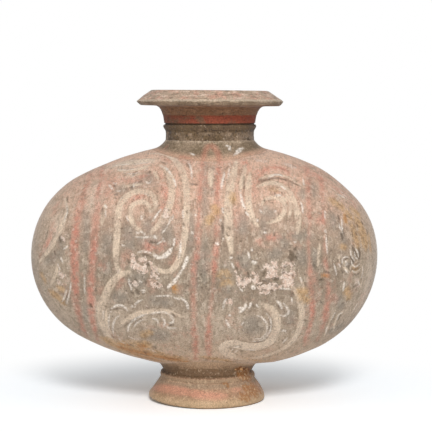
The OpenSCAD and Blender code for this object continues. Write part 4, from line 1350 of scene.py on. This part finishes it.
def foot_bed_clay():
    """The body's clay where the light hardly reaches, painted darker low on the stem as shade under the
    belly, with brown soil caught in the angle.
    """
    material, where, tone, relief = clay_ground("foot_bed_clay", "#94795f", "#aa8d72", "#bea387")
    tree = material.node_tree
    spot = separated(tree, where)
    height = spot[2]
    wear = grain(tree, where, 6 * mm, 6, 0.7)
    tone = coat(tree, tone, "#a88463", between(tree, wear, 0.55, 0.65), 0.2)
    # Painted shade: the stem is darker low down, under the belly.
    painted_stem_shade = calc(tree, "ADD", height, wander(tree, wear, 9 * mm))
    tone = coat(tree, tone, "#6a543e", between(tree, painted_stem_shade, 37.5 * mm, 30.5 * mm), 0.76)
    out = out_from(tree, spot, foot_x)
    tone = coat(tree, tone, "#ccb093", between(tree, out, 42.4 * mm, 46.5 * mm), 0.75)
    crust = brushwork(tree, "crust", wander(tree, wear, 12.0), soft=1.2, fray=1.0)
    tone = coat(tree, tone, "#7d4c22", crust, 0.85)
    bright = times(tree, crust, between(tree, grain(tree, where, 2.4 * mm, 2, 0.5), 0.54, 0.62))
    tone = coat(tree, tone, "#e4b47e", bright, 0.85)
    relief = calc(tree, "ADD", relief, times(tree, crust, wear))
    return fire(material, tone, relief, depth=0.9 * mm)


crust_px = [
    (9, [(236, 370), (243, 371), (250, 372)]), (8, [(238, 375), (246, 377), (251, 379)]),
    (12, [(244, 388), (252, 391), (259, 394)]), (9, [(240, 396), (250, 399)]),
    (4, [(225, 382), (228, 386)]), (8, [(250, 385), (257, 388), (262, 393)]),
]


def pushed_in(points, share):
    """Moves points on the foot's left side in a little, where the potter's hand pressed the stem."""
    pressed = points.copy()
    pressed[:, 0] -= np.minimum(points[:, 0] - foot_x, 0) * stem_press * share
    return pressed


def settle_foot_bed(piece):
    """Beds the piece on the body: its upper side follows it, and its lower side sweeps down to the stem."""
    points = places(piece)
    lower = points[:, 2] < side_middle
    out = np.hypot(points[:, 0] - foot_x, points[:, 1])
    share = np.clip((out - stem_radius) / fillet_reach, 0, 1)
    drop = np.where(out < stem_radius, lute, fillet_drop * (1 - share) ** fillet_hollow)
    points = pushed_in(points, share=1.0)
    points[:, 2] = body_height(points, -1) - np.where(lower, drop, 0)
    move_to(piece, points)


fillet_start = stem_radius + fillet_gap
fillet_rings = list(np.linspace(fillet_start, fillet_start + fillet_reach, fillet_steps + 1))
foot_bed_rings = [foot_hollow, stem_radius - fillet_gap]
foot_bed_section = [(radius, upper_side) for radius in foot_bed_rings + fillet_rings]
foot_bed_section += [(radius, under_side) for radius in fillet_rings[-2::-1] + foot_bed_rings[::-1]]
foot_bed_section += foot_bed_section[:1]
foot_bed = turned("foot_bed", foot_bed_section, foot_bed_clay(), segments=240)
foot_bed.data.transform(Matrix.Translation((foot_x, 0, 0)))
settle_foot_bed(foot_bed)
close_up(foot_bed, crease=60)
foot_outline = [
    (51.2 * mm, 0), (52 * mm, 1.2 * mm), (52.3 * mm, 3.2 * mm), (52 * mm, 5.2 * mm), (50.6 * mm, 8 * mm),
    (48.4 * mm, 12 * mm), (46.2 * mm, 15.6 * mm), (44.4 * mm, 18.4 * mm), (43.2 * mm, 20 * mm),
    (43.0 * mm, 20.6 * mm), (43.5 * mm, 21.6 * mm), (43.6 * mm, 23 * mm), (43.0 * mm, 24.6 * mm),
    (41.6 * mm, 25.6 * mm), (40.9 * mm, 26.4 * mm), (41.0 * mm, 28 * mm), (stem_radius, stem_top),
]
foot_form = outside_turned(foot_outline + [(stem_radius + 2 * mm, 38 * mm)], foot_x)
foot_crust = laid_on(crust_px, foot_form, turned_behind)
paint(foot_bed, {"crust": foot_crust})
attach(foot_bed, "root")
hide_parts("foot_lute")


# The foot
# A hollow flared ring thrown on its own, with a bead under its top and a worn red band on the flare.
# The stem was pressed in on the left, and the edge there is lifted a little. The edge is brown from the
# ground that it stood in, and lime and iron crust cling to the right side. Painted shade darkens the
# groove and the very foot, where it meets the floor, and a painted highlight lightens the bead.
def foot_clay():
    """Brown-grey clay with a worn red band and burial crust, painted shade in the groove and at the very
    foot, and a painted highlight on the bead.
    """
    material, where, tone, relief = clay_ground("foot_clay", "#9f7f65", "#b79378", "#caa98d")
    tree = material.node_tree
    spot = separated(tree, where)
    wear = grain(tree, where, 8 * mm, 6, 0.7)
    fray = grain(tree, where, 2.2 * mm, 4, 0.65)
    height = calc(tree, "ADD", spot[2], wander(tree, fray, 2.0 * mm))
    # Painted shade: the stem is dark above the bead and darkest in the groove.
    groove = height_band(tree, height, 25 * mm, 27.4 * mm, soft=0.9 * mm)
    tone = coat(tree, tone, "#66503b", between(tree, height, 23.6 * mm, 27 * mm), 0.9)
    tone = coat(tree, tone, "#45331f", groove, 0.5)
    # Painted highlight: the bead is made lighter along its round.
    bead = height_band(tree, height, 20.8 * mm, 24.4 * mm, soft=0.8 * mm)
    tone = coat(tree, tone, "#9d876e", bead, 0.7)
    grey = height_band(tree, height, 16.5 * mm, 20.4 * mm, soft=1.2 * mm)
    tone = coat(tree, tone, "#958570", grey, 0.6)
    ragged = calc(tree, "ADD", wander(tree, fray, 5.0), wander(tree, wear, 4.0))
    speckle = grain(tree, where, 2.8 * mm, 3, 0.6)
    tone = coat(tree, tone, "#7d6045", between(tree, speckle, 0.54, 0.64), 0.36)
    tone = coat(tree, tone, "#dcc2a4", between(tree, speckle, 0.44, 0.34), 0.34)
    red = brushwork(tree, "foot_red", ragged, soft=2.2, fray=0.6)
    tone = coat(tree, tone, "#d3957e", red, 0.56)
    edge = between(tree, height, 11 * mm, 4 * mm)
    tone = coat(tree, tone, "#d0b590", edge, 0.55)
    crust = brushwork(tree, "crust", ragged, soft=1.4, fray=1.6)
    tone = coat(tree, tone, "#9a6635", crust, 0.65)
    tone = coat(tree, tone, "#e0c6a2", crust, between(tree, fray, 0.52, 0.6), 0.66)
    # Painted shade: darker at the very foot, where it meets the floor.
    painted_contact_shade = between(tree, spot[2], 1.6 * mm, 0.6 * mm)
    tone = coat(tree, tone, "#5d4c3b", painted_contact_shade, 0.7)
    pits = between(tree, grain(tree, where, 1.5 * mm, 3, 0.6), 0.62, 0.7)
    tone = coat(tree, tone, "#54422f", pits, 0.5)
    relief = calc(tree, "ADD", relief, times(tree, crust, fray, 1.6))
    return fire(material, tone, relief, depth=0.6 * mm, grit=0.28)


foot_red_px = [
    (9, [(152, 386.6), (160, 387.4), (170, 389), (181, 391), (193, 393)]),
    (9, [(188, 393), (200, 395), (213, 396.4), (227, 396.6)]), (4, [(232, 391), (240, 389)]),
]
bead_slope = 0.022
edge_lift = 2.4 * mm
foot_inside = [(foot_hollow, stem_top), (34 * mm, 25 * mm), (37.4 * mm, 14 * mm), (40.6 * mm, 4 * mm),
               (42 * mm, 0)]
foot = turned("foot_ring", foot_outline + foot_inside + foot_outline[:1], foot_clay(), segments=360,
              warp=0.5 * mm, warp_size=24 * mm, seed=5.0)
upright(foot, foot_x)
foot_points = places(foot)
foot_heights = foot_points[:, 2].copy()
foot_points = pushed_in(foot_points, np.interp(foot_heights, (6 * mm, 18 * mm), (0, 1)))
bead_heights = (12 * mm, 21 * mm, 25 * mm, 29 * mm)
bead_tilt = np.interp(foot_heights, bead_heights, (0, bead_slope, bead_slope, 0))
foot_points[:, 2] -= (foot_points[:, 0] - foot_x) * bead_tilt
lifted = np.interp(foot_points[:, 0] - foot_x, (-46 * mm, -2 * mm), (edge_lift, 0))
foot_points[:, 2] += lifted * np.interp(foot_heights, (0, 9 * mm), (1, 0))
foot_seat = foot_heights > stem_top - touch
foot_points[foot_seat, 2] = body_height(foot_points, -1)[foot_seat] - lute
move_to(foot, foot_points)
close_up(foot)
paint(foot, {"foot_red": laid_on(foot_red_px, foot_form, turned_behind), "crust": foot_crust})
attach(foot, "root")
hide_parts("foot")


# The floor and the light
# A plain pale floor in a white surround, not part of the jar. A soft lamp stands in front, well above it
# and a little to the right, and a weak one low in front fills the shade under the body.
floor_reach = 6.0
floor_dark = (0.9, 0.9, 0.9, 1)
floor_light = (0.94, 0.94, 0.94, 1)
floor_seen = (1.4, 1.47, 1.53, 1)
shadow_reach = 0.12
white_from = 0.3
surround_glow = 0.4
floor_data = bpy.data.meshes.new("floor")
floor_corners = [(-floor_reach, -floor_reach, 0), (floor_reach, -floor_reach, 0),
                 (floor_reach, floor_reach, 0), (-floor_reach, floor_reach, 0)]
floor_data.from_pydata(floor_corners, [], [(0, 1, 2, 3)])
floor = bpy.data.objects.new("floor", floor_data)
bpy.context.collection.objects.link(floor)


def floor_paint():
    """Pale matt paint. The camera sees it as white, with the jar's soft shadow on it near the foot."""
    material = bpy.data.materials.new("floor_paint")
    material.use_nodes = True
    tree = material.node_tree
    tree.nodes.clear()
    seen = add_node(tree, "ShaderNodeLightPath").outputs["Is Camera Ray"]
    place = add_node(tree, "ShaderNodeTexCoord").outputs["Object"]
    shade = mixed(tree, grain(tree, place, 3 * mm), floor_dark, floor_light)
    shade = mixed(tree, seen, shade, floor_seen)
    matt = add_node(tree, "ShaderNodeBsdfDiffuse", {"Color": shade}).outputs[0]
    white = add_node(tree, "ShaderNodeEmission", {"Strength": 1.0}).outputs[0]
    away = vector_calc(tree, "LENGTH", place)
    far = times(tree, between(tree, away, shadow_reach, white_from), seen)
    surface = add_node(tree, "ShaderNodeMixShader", {0: far, 1: matt, 2: white}).outputs[0]
    add_node(tree, "ShaderNodeOutputMaterial", {"Surface": surface})
    return material


floor_data.materials.append(floor_paint())


def soft_lamp(name, place, aim, size, watts):
    """A square soft lamp that points from one place at another."""
    data = bpy.data.lights.new(name, "AREA")
    data.size = size
    data.energy = watts
    lamp = bpy.data.objects.new(name, data)
    lamp.location = place
    lamp.rotation_euler = (Vector(aim) - Vector(place)).to_track_quat("-Z", "Y").to_euler()
    bpy.context.collection.objects.link(lamp)


soft_lamp("key_lamp", place=(0.16, -2.05, 1.44), aim=(0, 0, 0.13), size=0.6, watts=34)
soft_lamp("low_fill", place=(0, -1.8, 0.2), aim=(0, 0, 0.1), size=0.9, watts=3.8)

surround = bpy.data.worlds.new("surround")
bpy.context.scene.world = surround
surround.use_nodes = True
sky = surround.node_tree
sky.nodes.clear()
path = add_node(sky, "ShaderNodeLightPath").outputs
direct = calc(sky, "MAXIMUM", path["Is Camera Ray"], path["Is Glossy Ray"])
direct = calc(sky, "MAXIMUM", direct, path["Is Transmission Ray"])
glow = add_node(sky, "ShaderNodeMix", {0: direct, 2: surround_glow, 3: 1.0}, data_type="FLOAT").outputs[0]
white_sky = add_node(sky, "ShaderNodeBackground", {"Color": (1, 1, 1, 1), "Strength": glow})
add_node(sky, "ShaderNodeOutputWorld", {"Surface": white_sky.outputs[0]})

bpy.context.scene.view_settings.view_transform = "Standard"
